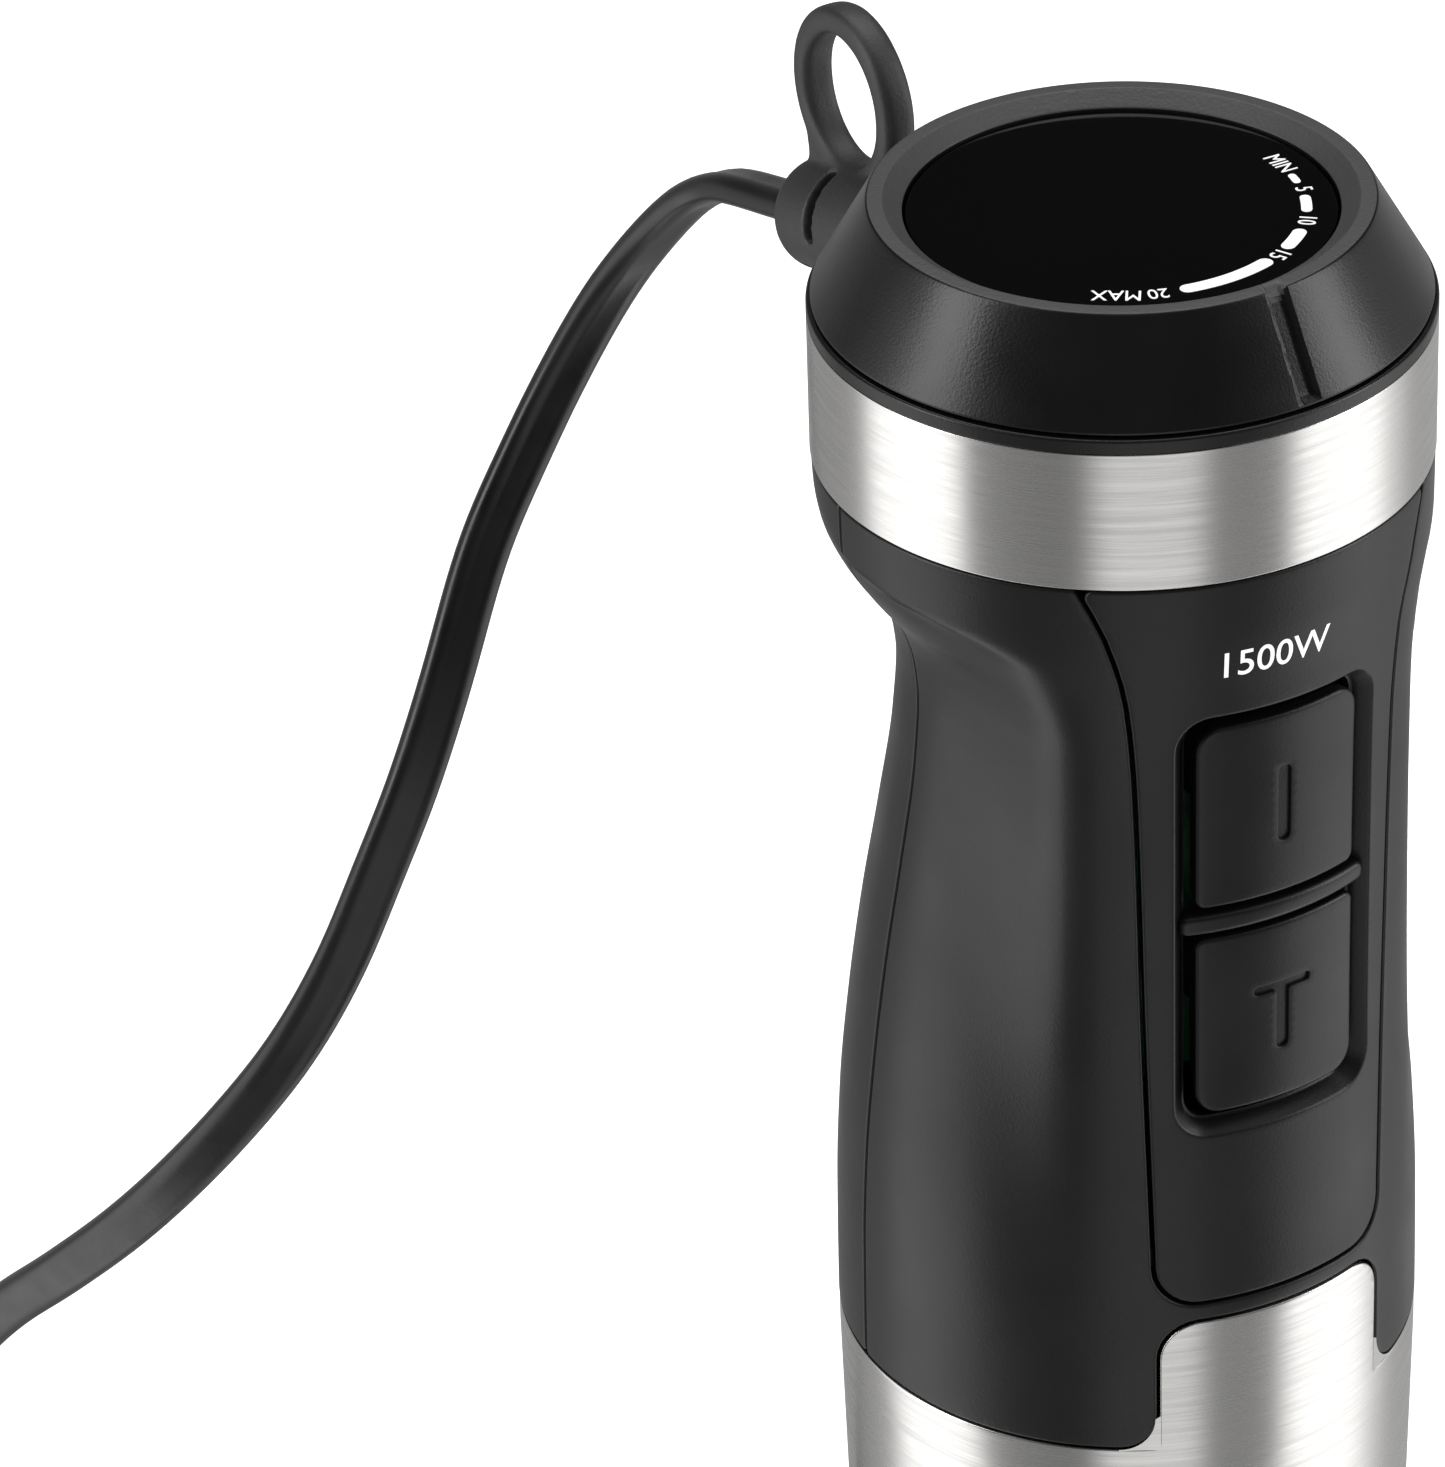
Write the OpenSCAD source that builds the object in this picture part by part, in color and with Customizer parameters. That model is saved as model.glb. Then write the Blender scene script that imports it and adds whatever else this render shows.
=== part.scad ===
// Electric hand blender: motor unit with speed dial, two buttons, steel collar and
// lower sleeve, and a latched steel blending foot. It stands upright on its bell guard.
// Axis of the blender is +Z, the buttons face -Y, the mains cord leaves towards +Y.
// All lengths are millimetres.

/* [Overall] */
// Height of the dial glass above the rim of the bell guard
glass_z = 400; // [398:0.5:404]
// Radius of the brushed steel collar, the widest part of the motor unit
collar_r = 33; // [32.6:0.1:33.6]

/* [Speed dial] */
// Radius of the fixed black glass in the middle of the dial
glass_r = 22.4; // [22:0.1:22.6]
// Pointer angle from the front of the blender at rest
pointer_a = 4; // [0:1:20]
// Teeth of the gear rim inside the dial
dial_teeth = 60; // [60:1:60]
// Teeth of the pinion on the speed control
pinion_teeth = 24; // [24:1:24]

/* [Grip] */
// Smallest radius of the grip, at the finger waist
waist_r = 24.4; // [24.2:0.1:26]
// Radius of the front of the grip at the height of the waist
front_waist_r = 31.8; // [31.5:0.1:32.2]
// Radius where the grip meets the lower sleeve
sleeve_r = 32.3; // [32:0.1:32.5]
// Half width of the straight front of the grip
ridge_x = 22.2; // [21.6:0.2:23]
// Thickness of the grip shells
shell_t = 2.2; // [2:0.1:2.4]

/* [Buttons] */
// Half width of a button
button_x = 10.2; // [9.8:0.1:10.4]
// Height of a button
button_h = 22; // [21.6:0.1:22.2]

/* [Lower sleeve] */
// Half width of the steel tab under the buttons
tab_x = 13.9; // [13:0.1:14.5]
// Radius of the sleeve at its lower end
sleeve_low_r = 30.9; // [30.6:0.1:31]

/* [Blending foot] */
// Radius of the bell guard at its rim
bell_r = 32; // [31:0.5:32.4]
// Radius of the steel shaft tube
tube_r = 15; // [14.5:0.1:15.4]
// Radius swept by the blade
blade_r = 25; // [23:0.5:26]

/* [Mains cord] */
// Width of the flat cord
cord_w = 6.4; // [6:0.1:6.6]
// Thickness of the flat cord
cord_t = 3.8; // [3.4:0.1:4]

/* [Hidden] */
$fn = 72;
eps = 0.01;
gap = 0.3;
running = 0.04;

// ---- Heights of the motor unit, measured down from the dial glass
dial_low_z = glass_z - 9.15;
cap_top_z = dial_low_z - gap;
band_top_z = glass_z - 11;
band_low_z = glass_z - 26.8;
shell_top_z = band_low_z - gap;
shoulder_z = glass_z - 30;
waist_z = glass_z - 48.5;
swell_z = glass_z - 118;
shell_low_z = glass_z - 135;
tab_top_z = glass_z - 119;
panel_low_z = glass_z - 116.4;
well_top_z = glass_z - 43.2;
well_low_z = glass_z - 95.2;
on_mid_z = glass_z - 55.8;
turbo_mid_z = glass_z - 81.6;
divider_mid_z = glass_z - 68.9;

// ---- Heights of the lower end and the foot
sleeve_low_z = 199.6;
ring_low_z = 196.3;
foot_top_z = 195.9;
foot_neck_z = 160;
well_floor_z = 186.4;
tube_top_z = 170;
bell_neck_z = 47;

// ---- Curves of the grip
function ease(a, b, t) = a + (b - a) * (1 - cos(180 * t)) / 2;
function back_r(z) =
    z >= shoulder_z ? collar_r - 0.2
    : z >= waist_z ? ease(collar_r - 0.2, waist_r, (shoulder_z - z) / (shoulder_z - waist_z))
    : z >= swell_z ? ease(waist_r, sleeve_r, (waist_z - z) / (waist_z - swell_z))
    : sleeve_r;
front_top_z = shoulder_z - 3;
front_swell_z = glass_z - 125;
function front_r(z) =
    z >= front_top_z ? collar_r - 0.2
    : z >= waist_z ? ease(collar_r - 0.2, front_waist_r, (front_top_z - z) / (front_top_z - waist_z))
    : z >= front_swell_z ? ease(front_waist_r, sleeve_r, (waist_z - z) / (waist_z - front_swell_z))
    : sleeve_r;
function heights(z0, z1, n) = [for (i = [0:n]) z0 + (z1 - z0) * i / n];
function back_line(z0, z1, inset) = [for (z = heights(z0, z1, 36)) [back_r(z) - inset, z]];
function front_line(z0, z1, inset) = [for (z = heights(z0, z1, 18)) [front_r(z) - inset, z]];

module turned(points) {
    rotate_extrude() polygon(points);
}

module ring(r_in, r_out, z0, z1) {
    translate([0, 0, z0]) difference() {
        cylinder(h = z1 - z0, r = r_out);
        translate([0, 0, -1]) cylinder(h = z1 - z0 + 2, r = r_in);
    }
}

module disc(r, z0, z1) {
    translate([0, 0, z0]) cylinder(h = z1 - z0, r = r);
}

// Solid of revolution under a line of [radius, height] points
module column(line, z0, z1) {
    turned(concat([[0, z0]], line, [[0, z1]]));
}

// A front view outline, x across and y up, pushed back from y0 to y1
module from_front(y0, y1) {
    translate([0, y1, 0]) rotate([90, 0, 0]) linear_extrude(y1 - y0) children();
}

module rounded_box_2d(w, h, r) {
    square([w - 2 * r, h], center = true);
    square([w, h - 2 * r], center = true);
    for (x = [-1, 1], y = [-1, 1])
        translate([x * (w / 2 - r), y * (h / 2 - r)]) circle(r);
}

// ---- Blending foot --------------------------------------------------------
bell_wall = 1.2;
bell_flat_z = 18;
bell_crown_z = 41;
vent_w = 13;
vent_h = 9;
module bell_guard() {
    dome = [for (a = [0:10:90]) [tube_r + 1 + (bell_r - tube_r - 1) * cos(a),
                                 bell_flat_z + (bell_crown_z - bell_flat_z) * sin(a)]];
    inner = [for (a = [0:10:90]) [tube_r - 7 + (bell_r - bell_wall - tube_r + 7) * cos(a),
                                  bell_flat_z - 1 + (bell_crown_z - 4 - bell_flat_z) * sin(a)]];
    color("silver") difference() {
        turned(concat([[0, 0], [bell_r, 0]], dome, [[tube_r, bell_crown_z + 1.5], [tube_r, bell_neck_z],
                      [0, bell_neck_z]]));
        turned(concat([[0, -1], [bell_r - bell_wall, -1]], inner, [[0, bell_crown_z - 5]]));
        disc(9.5, 20, bell_neck_z + 1);
        for (a = [0:90:270]) rotate([0, 0, a]) from_front(-bell_r - 2, -bell_r + 14)
            union() {
                translate([-vent_w / 2, -1]) square([vent_w, vent_h + 1 - 3]);
                translate([-vent_w / 2 + 3, 0]) square([vent_w - 6, vent_h]);
                for (x = [-1, 1]) translate([x * (vent_w / 2 - 3), vent_h - 3]) circle(3);
            }
    }
}

module foot_tube() {
    color("silver") ring(tube_r - 1, tube_r, bell_neck_z + 0.02, tube_top_z);
}

module foot_collar() {
    skirt = [for (i = [0:12]) [ease(tube_r + 2, 30, i / 12), foot_neck_z + (well_floor_z - 2 - foot_neck_z) * i / 12]];
    color("#1a1a1b") difference() {
        turned(concat([[0, foot_neck_z]], skirt, [[30.4, foot_top_z - 0.6], [29.9, foot_top_z], [0, foot_top_z]]));
        disc(tube_r + 0.02, foot_neck_z - 1, tube_top_z + 0.1);
        disc(28.6, well_floor_z, foot_top_z + 1);
        disc(5.6, foot_neck_z, foot_top_z);
    }
}

module latch_ring() {
    color("silver") ring(27.2, 28.58, 189.6, 191.4);
}

shaft_r = 2.5;
module lower_bush() {
    color("#b08d57") difference() {
        disc(9.46, 30, 46.5);
        disc(shaft_r + running, 29, 48);
    }
}

module shaft_seal() {
    color("#2b2b2b") difference() {
        disc(7.5, 25.5, 29.95);
        disc(shaft_r + 2 * running, 25, 31);
    }
}

module upper_bush() {
    color("#b08d57") difference() {
        disc(5.55, 172, 185.5);
        disc(shaft_r + running, 171, 187);
    }
}

module drive_shaft() {
    color("silver") disc(shaft_r, 8, 187);
}

hub_low_z = 10;
module blade_hub() {
    color("silver") difference() {
        union() {
            disc(4.6, hub_low_z + 2.2, 22);
            disc(3.4, 22, 25.2);
        }
        disc(shaft_r + eps, hub_low_z, 26);
    }
}

module blade_nut() {
    color("silver") difference() {
        translate([0, 0, 7.4]) cylinder(h = 2.6, r = 4.4, $fn = 6);
        disc(shaft_r + eps, 7, 11);
    }
}

module blade_wing() {
    difference() {
        linear_extrude(1.4) polygon([[-4.5, -4.2], [6, -4.6], [blade_r - 2, -3.2], [blade_r, 0.8],
                                     [blade_r - 4, 3.6], [6, 4.6], [-4.5, 4.2]]);
        translate([0, 0, -1]) cylinder(h = 4, r = shaft_r + eps);
        translate([4, -7, 0.9]) rotate([-35, 0, 0]) cube([blade_r, 4, 6]);
    }
}

module blade_wings() {
    color("silver") difference() {
        union() {
            translate([0, 0, hub_low_z + 0.05]) blade_wing();
            translate([0, 0, hub_low_z + 0.05]) rotate([0, 0, 180]) blade_wing();
        }
        disc(shaft_r + eps, 0, 20);
    }
}

// Splined end of the drive shaft, taken up by the cup on the motor shaft
module foot_coupler() {
    color("#e8e4d8") difference() {
        union() {
            disc(4, 187.02, 196);
            for (a = [0:60:300]) rotate([0, 0, a]) translate([3.4, -0.9, 187.02]) cube([1.7, 1.8, 8.98]);
        }
        disc(1.2, 190, 197);
    }
}

// ---- Lower end of the motor unit ------------------------------------------
module coupling_ring() {
    color("#1a1a1b") turned([[29.65, ring_low_z], [30.5, ring_low_z], [30.9, ring_low_z + 0.4],
                             [30.9, sleeve_low_z - 0.02], [29.65, sleeve_low_z - 0.02]]);
}

release_z = 212;
release_h = 12;
release_w = 13;
module release_window(extra, r_in, r_out) {
    for (side = [-1, 1]) rotate([0, 0, 90 * side])
        translate([0, 0, release_z]) from_front(-r_out, -r_in)
            rounded_box_2d(release_w + 2 * extra, release_h + 2 * extra, 2.5);
}

sleeve_t = 0.8;
module tab_outline(extra) {
    corner = 4.5;
    mid_z = (tab_top_z + shell_low_z) / 2 - 6;
    translate([0, mid_z])
        rounded_box_2d(2 * (tab_x + extra), 2 * (tab_top_z + extra - mid_z), corner);
}

module lower_sleeve() {
    straight_z = shell_low_z - 4;
    color("silver") difference() {
        intersection() {
            turned([[sleeve_low_r - sleeve_t, sleeve_low_z], [sleeve_low_r, sleeve_low_z], [sleeve_r, straight_z],
                    [sleeve_r, tab_top_z], [sleeve_r - sleeve_t, tab_top_z], [sleeve_r - sleeve_t, straight_z]]);
            union() {
                disc(sleeve_r + 3, sleeve_low_z - 2, shell_low_z - gap);
                from_front(-40, -10) tab_outline(0);
            }
        }
        release_window(gap, 20, 40);
    }
}

frame_r = 29.6;
frame_t = 1.6;
rail_x = 17.2;
rail_y = 5;
rail_w = 5.5;
module motor_frame() {
    color("#3a3a3c") {
        difference() {
            union() {
                ring(frame_r - frame_t, frame_r, ring_low_z + 3, 263);
                disc(frame_r - 0.5, 202, 205);
            }
            disc(8.02, 201, 206);
            for (side = [-1, 1]) translate([side * 24.5 - 4, -5.3, 200]) cube([8, 10.6, 7]);
            for (a = [30:60:330]) rotate([0, 0, a + 30]) translate([11, -3, 200]) cube([7, 6, 7]);
            release_window(gap, 20, 40);
        }
        difference() {
            ring(25.7, frame_r - frame_t + 0.5, 226, 262);
            for (a = [0:60:300]) rotate([0, 0, a]) translate([20, -8, 225]) cube([12, 16, 38]);
        }
        // Two rails carry the top chassis, up through the waist of the grip
        for (side = [-1, 1]) {
            translate([side * rail_x - 1.5, rail_y, 287]) cube([3, rail_w, 367 - 287]);
            translate([side * (rail_x + 3.3) - 4.8, rail_y, 284.2]) cube([9.6, rail_w, 3]);
            translate([side * (rail_x + 6.6) - 1.5, rail_y, 264]) cube([3, rail_w, 21]);
            translate([side * 24.9 - 2.7, rail_y, 261]) cube([5.4, rail_w, 3.1]);
        }
    }
}

module release_button() {
    difference() {
        intersection() {
            translate([0, 0, release_z]) from_front(-31.9, -25.9) rounded_box_2d(release_w, release_h, 2.5);
            ring(24, 31.9, release_z - 10, release_z + 10);
        }
        for (z = [-3, 0, 3]) translate([-5, -32.6, release_z + z - 0.4]) cube([10, 1.2, 0.8]);
    }
    translate([-8.4, -26, 206.2]) cube([16.8, 1.6, 13.6]);
    translate([-4, -26, 187.2]) cube([8, 1.6, 19.1]);
    translate([-4, -28, 187.2]) cube([8, 2.1, 2.1]);
}

module release_button_left() {
    color("#1a1a1b") rotate([0, 0, -90]) release_button();
}

module release_button_right() {
    color("#1a1a1b") rotate([0, 0, 90]) release_button();
}

// Leaf springs behind the release buttons, drawn pressed flat
module release_springs() {
    color("silver") for (side = [-1, 1])
        translate([side * 21.3 - 0.25, -4, 205.02]) cube([0.5, 8, 13]);
}

// ---- Motor ---------------------------------------------------------------
motor_shaft_r = 3;
module lower_bearing() {
    color("silver") ring(motor_shaft_r + running, 8, 202, 205);
}

module upper_bearing() {
    color("silver") ring(motor_shaft_r + running, 6.5, 282, 286);
}

module bearing_bridge() {
    color("#3a3a3c") difference() {
        union() {
            ring(6.52, 11, 281, 287);
            disc(20.8, 281, 283.5);
            translate([-28.5, -4, 281]) cube([57, 8, 4]);
            for (side = [-1, 1]) translate([side * 28.3 - 0.9, -4, 263.02]) cube([1.8, 8, 18.5]);
        }
        disc(6.52, 280, 288);
    }
}

module stator_core() {
    color("#8d8f92") difference() {
        disc(25.5, 228, 256);
        disc(14.2, 227, 257);
        for (side = [-1, 1]) translate([side * 17.5 - 2.2, -12, 227]) cube([4.4, 24, 30]);
    }
}

module field_windings() {
    color("#b06a35") for (side = [-1, 1]) {
        translate([side * 17.5 - 2, -11.8, 222]) cube([4, 23.6, 40]);
        for (z = [222, 256.2]) intersection() {
            ring(14.6, 20.6, z, z + 5.8);
            translate([side * 12.5 - 7, -18, z]) cube([14, 36, 6]);
        }
    }
}

module motor_shaft() {
    color("silver") disc(motor_shaft_r, 196.6, 290);
}

module armature_core() {
    color("#77797c") difference() {
        ring(motor_shaft_r + eps, 13.7, 228, 256);
        for (a = [0:30:330]) rotate([0, 0, a]) translate([9.6, -0.9, 227]) cube([2.9, 1.8, 30]);
    }
}

module armature_windings() {
    color("#b06a35") {
        ring(motor_shaft_r + 1.5, 11.6, 219.5, 227.9);
        ring(motor_shaft_r + 1.5, 11.6, 256.1, 264);
    }
}

module commutator() {
    color("#b8763c") difference() {
        ring(motor_shaft_r + eps, 8.5, 266, 278);
        for (a = [0:15:345]) rotate([0, 0, a]) translate([7.9, -0.2, 265]) cube([2, 0.4, 14]);
    }
}

module cooling_fan() {
    color("#2a2a2c") {
        ring(motor_shaft_r + eps, 6, 207, 217);
        difference() {
            disc(20, 215.6, 217);
            disc(motor_shaft_r + eps, 214, 218);
        }
        for (a = [0:36:324]) rotate([0, 0, a]) translate([5.5, -0.6, 207.5]) cube([13.8, 1.2, 8.5]);
    }
}

// Cup with six inner slots that drives the splines of the foot
module motor_coupler() {
    color("#e8e4d8") difference() {
        disc(7.2, 188.5, 201.4);
        disc(4.35, 187, 196.6);
        disc(motor_shaft_r + eps, 196, 202);
        for (a = [0:60:300]) rotate([0, 0, a]) translate([3.4, -1.25, 187]) cube([2.05, 2.5, 9.6]);
    }
}

module brush_holders() {
    color("#b08d57") for (side = [-1, 1]) translate([0, side * 15.6, 272]) difference() {
        cube([7.4, 11, 7.4], center = true);
        cube([5.04, 12, 5.04], center = true);
    }
    color("#3a3a3c") for (side = [-1, 1])
        translate([-3.6, side * 18.5 - 2, 275.65]) cube([7.2, 4, 5.33]);
}

module carbon_brushes() {
    color("#1d1d1f") for (side = [-1, 1])
        translate([-2.5, side > 0 ? 8.8 : -19.3, 269.5]) cube([5, 10.5, 5]);
}

// ---- Grip ---------------------------------------------------------------
seam_y = 3;
module grip_outside() {
    column(back_line(shell_low_z, shell_top_z, 0), shell_low_z, shell_top_z);
    intersection() {
        column(front_line(shell_low_z, shell_top_z, 0), shell_low_z, shell_top_z);
        translate([-ridge_x, -40, 0]) cube([2 * ridge_x, 40, glass_z]);
    }
}

module grip_inside() {
    low = shell_low_z - 1;
    top = shell_top_z + 1;
    column(back_line(low, top, shell_t), low, top);
    intersection() {
        column(front_line(low, top, shell_t), low, top);
        translate([shell_t - ridge_x, -40, 0]) cube([2 * (ridge_x - shell_t), 40, glass_z]);
    }
}

function panel_x(z) =
    z > glass_z - 50 ? 15.9 + 4.6 * pow((z - glass_z + 50) / 23, 2)
    : 15.9 - 1.5 * (glass_z - 50 - z) / 62;
module panel_outline(extra) {
    corner = 5 + extra;
    low = panel_low_z - extra;
    x_low = panel_x(panel_low_z) + extra;
    right = concat([for (a = [-90:15:0]) [x_low - corner + corner * cos(a), low + corner + corner * sin(a)]],
                   [for (z = heights(panel_low_z + 20, glass_z - 50, 3)) [panel_x(z) + extra, z]],
                   [for (z = heights(glass_z - 46, shell_top_z + 3 * extra, 6)) [panel_x(z) + extra, z]]);
    left = [for (i = [len(right) - 1:-1:0]) [-right[i][0], right[i][1]]];
    polygon(concat(right, left));
}

module front_shell() {
    color("#1b1b1c") difference() {
        intersection() {
            difference() {
                grip_outside();
                grip_inside();
            }
            translate([-50, -50, 0]) cube([100, 50 + seam_y - 0.05, glass_z]);
        }
        from_front(-40, -14) panel_outline(gap);
        from_front(-40, -10) tab_outline(gap);
    }
}

module rear_shell() {
    color("#1b1b1c") difference() {
        intersection() {
            difference() {
                grip_outside();
                grip_inside();
            }
            translate([-50, seam_y + 0.05, 0]) cube([100, 50, glass_z]);
        }
        screw_holes();
        on_relief() translate([0, 0, -14]) cylinder(h = 26, r = boot_r + 0.9);
    }
}

well_x = 12.3;
hole_x = button_x + 0.3;
panel_t = 3;
module panel_skin(inset, thickness) {
    intersection() {
        difference() {
            column(front_line(panel_low_z - 1, shell_top_z, inset), panel_low_z - 1, shell_top_z);
            column(front_line(panel_low_z - 2, shell_top_z + 1, inset + thickness),
                   panel_low_z - 2, shell_top_z + 1);
        }
        translate([-30, -40, 0]) cube([60, 28, glass_z]);
    }
}

module button_opening(mid_z) {
    translate([0, mid_z]) rounded_box_2d(2 * hole_x, button_h + 0.6, 2.6);
}

module button_panel() {
    color("#161617") difference() {
        intersection() {
            panel_skin(0, panel_t);
            from_front(-40, -12) panel_outline(0);
        }
        intersection() {
            panel_skin(-2, 3.3);
            from_front(-40, -12) difference() {
                translate([0, (well_top_z + well_low_z) / 2])
                    rounded_box_2d(2 * well_x, well_top_z - well_low_z, 4);
                translate([-20, divider_mid_z - 1]) square([40, 2]);
            }
        }
        from_front(-40, -12) button_opening(on_mid_z);
        from_front(-40, -12) button_opening(turbo_mid_z);
    }
}

button_face = 0.5;
module button(mid_z) {
    intersection() {
        panel_skin(button_face, 3.6);
        from_front(-40, -12) translate([0, mid_z]) rounded_box_2d(2 * button_x, button_h, 2.4);
    }
    intersection() {
        panel_skin(panel_t + 0.3, 1);
        from_front(-40, -12) translate([0, mid_z]) rounded_box_2d(2 * button_x + 2.4, button_h + 2.4, 3);
    }
    translate([-2, -28.6, mid_z - 2]) cube([4, 4.4, 4]);
}

module on_button() {
    color("#141415") difference() {
        button(on_mid_z);
        from_front(-40, -31) translate([0, on_mid_z]) rounded_box_2d(1.6, 9, 0.79);
    }
}

module turbo_button() {
    color("#141415") difference() {
        button(turbo_mid_z);
        from_front(-40, -31) {
            translate([0, turbo_mid_z + 2.4]) rounded_box_2d(7.4, 1.6, 0.79);
            translate([0, turbo_mid_z - 0.8]) rounded_box_2d(1.6, 7.2, 0.79);
        }
    }
}

module micro_switches() {
    color("#2d2d30") for (z = [on_mid_z, turbo_mid_z]) {
        translate([-3, -21.7, z - 5]) cube([6, 5.18, 10]);
        translate([-1, -21.9, z - 1]) cube([2, 0.3, 2]);
    }
}

module switch_board() {
    color("#2f6b45") translate([-10, -16.5, turbo_mid_z - 14]) cube([20, 1.6, on_mid_z - turbo_mid_z + 28]);
}

// Two screws low in the rear shell and two high, each into a rail or the chassis
screw_x = 9;
screw_zs = [276, 362];
module screw_holes() {
    for (x = [-screw_x, screw_x], z = screw_zs)
        translate([x, 20, z]) rotate([-90, 0, 0]) cylinder(h = 20, r = 2.02);
}

module shell_screws() {
    color("#4a4a4d") intersection() {
        for (x = [-screw_x, screw_x], z = screw_zs)
            translate([x, 22.5, z]) rotate([-90, 0, 0]) difference() {
                cylinder(h = 20, r = 2);
                translate([-0.3, -1.6, 6.2]) cube([0.6, 3.2, 20]);
            }
        column(back_line(shell_low_z, shell_top_z, 0.8), shell_low_z, shell_top_z);
    }
}

// ---- Collar and dial -----------------------------------------------------
relief_z = glass_z - 19.3;
relief_tilt = 15;
neck_r = 5.8;
boot_r = 6.6;
module on_relief() {
    translate([0, collar_r, relief_z]) rotate([-90 - relief_tilt, 0, 0]) children();
}

collar_t = 0.8;
module steel_collar() {
    color("silver") difference() {
        ring(collar_r - collar_t, collar_r, band_low_z, band_top_z);
        on_relief() translate([0, 0, -8]) cylinder(h = 16, r = neck_r + 0.1);
    }
}

chassis_r = collar_r - collar_t - 0.05;
module top_chassis() {
    color("#3a3a3c") difference() {
        union() {
            ring(29.2, chassis_r, band_low_z, band_top_z - 0.02);
            ring(27.8, 29.4, band_low_z - 6, band_low_z + 2);
            disc(29.4, glass_z - 20, glass_z - 18);
            for (side = [-1, 1])
                translate([side * rail_x - 2.4, rail_y - 0.9, 367.02]) cube([4.8, rail_w + 1.8, 13.2]);
        }
        on_relief() translate([0, 0, -12]) cylinder(h = 16, r = neck_r + 0.1);
        translate([-9.5, 21.5, 360]) cube([19, 6.8, 26]);
        translate([0, -22, 360]) cylinder(h = 30, r = 5);
    }
}

module cap_ring() {
    color("#1a1a1b") turned([[29.4, band_top_z], [collar_r, band_top_z], [collar_r, cap_top_z - 0.25],
                             [collar_r - 0.25, cap_top_z], [29.4, cap_top_z]]);
}

board_z = glass_z - 16;
post_spots = [[-10, -6], [10, -6], [0, -13]];
module control_board() {
    color("#2f6b45") difference() {
        disc(25, board_z, board_z + 1.6);
        for (p = post_spots) translate([p[0], p[1], board_z - 1]) cylinder(h = 4, r = 2.3);
        translate([-30, 18, board_z - 1]) cube([60, 20, 4]);
    }
    color("#3a3a3c") for (x = [-16, 16]) translate([x, 2, glass_z - 17.98]) cylinder(h = 1.96, r = 2);
}

module board_parts() {
    top = board_z + 1.62;
    color("#c9b458") translate([-21, -4, top]) cube([8, 12, 5]);
    color("#1f3f8f") translate([14, 6, top]) cylinder(h = 5, r = 3.6);
    color("#2d2d30") {
        translate([14, -13, top]) cube([5, 7, 3]);
        translate([-17, -15, top]) cube([6, 6, 2.4]);
    }
    color("#d9d9d4") translate([-4, -22, top]) cube([8, 5, 4]);
}

pinion_y = 10.8;
control_top_z = glass_z - 9.8;
module speed_control() {
    color("#2f4f6b") translate([0, pinion_y, board_z + 1.62]) difference() {
        cylinder(h = control_top_z - board_z - 1.62, r = 5.6);
        translate([0, 0, 3]) cylinder(h = 10, r = 1.5 + running);
    }
}

// Spur teeth as a flat outline: root and tip radius, share of the pitch taken at each
function tooth(r_root, r_tip, a, half_root, half_tip) = [
    [r_root * cos(a - half_root), r_root * sin(a - half_root)],
    [r_tip * cos(a - half_tip), r_tip * sin(a - half_tip)],
    [r_tip * cos(a + half_tip), r_tip * sin(a + half_tip)],
    [r_root * cos(a + half_root), r_root * sin(a + half_root)]
];
gear_z = glass_z - 7.6;
gear_h = 2.4;
module control_pinion() {
    pitch = 360 / pinion_teeth;
    color("#e8e4d8") translate([0, pinion_y, 0]) {
        translate([0, 0, gear_z]) linear_extrude(gear_h)
            polygon([for (i = [0:pinion_teeth - 1]) each tooth(6.3, 7.5, 90 + i * pitch, pitch * 0.27, pitch * 0.13)]);
        translate([0, 0, board_z + 5]) cylinder(h = gear_z + gear_h - board_z - 5, r = 1.5);
        translate([0, 0, control_top_z + 0.3]) cylinder(h = gear_z - control_top_z, r = 3);
    }
}

carrier_z = glass_z - 4.65;
module lens_carrier() {
    color("#3a3a3c") {
        disc(glass_r - 0.1, carrier_z, glass_z - 1.67);
        for (p = post_spots) translate([p[0], p[1], glass_z - 17.98])
            cylinder(h = carrier_z - glass_z + 18.5, r = 2.2);
    }
}

dial_top_r = 26.5;
dial_low_r = 32.6;
rim_r = glass_r + 0.45;
module pointer_notch() {
    slope = atan2(dial_low_r - dial_top_r, glass_z + 1.6 - dial_low_z);
    rotate([0, 0, pointer_a]) translate([0, -dial_top_r, glass_z + 1.6]) rotate([-slope, 0, 0])
        translate([-1.3, -0.9, -11.2]) cube([2.6, 3, 16]);
}

module speed_dial() {
    pitch = 360 / dial_teeth;
    lip = [for (a = [0:30:90]) [25.5 + cos(a), glass_z + 0.9 + 0.9 * sin(a)]];
    color("#1b1b1c") {
        difference() {
            turned(concat([[dial_low_r - 2.6, dial_low_z], [dial_low_r, dial_low_z]], lip,
                          [[25, glass_z + 1.7], [rim_r, glass_z + 0.4], [rim_r, glass_z - 5],
                           [18.9, glass_z - 5], [18.9, glass_z - 7.8], [dial_low_r - 3.2, glass_z - 7.8]]));
            turned([[24.3, glass_z - 8], [24.3, glass_z - 2], [25.6, glass_z - 1.6], [28.8, glass_z - 8]]);
            pointer_notch();
        }
        translate([0, 0, glass_z - 7.8]) linear_extrude(2.8) difference() {
            circle(19);
            polygon([for (i = [0:dial_teeth - 1])
                     each tooth(17.4, 18.7, 90 + i * pitch, pitch * 0.37, pitch * 0.23)]);
        }
    }
}

module dial_glass() {
    color("#0a0a0b") turned([[0, glass_z - 1.65], [glass_r, glass_z - 1.65], [glass_r, glass_z - 0.2],
                             [glass_r - 0.2, glass_z], [0, glass_z]]);
}

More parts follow.
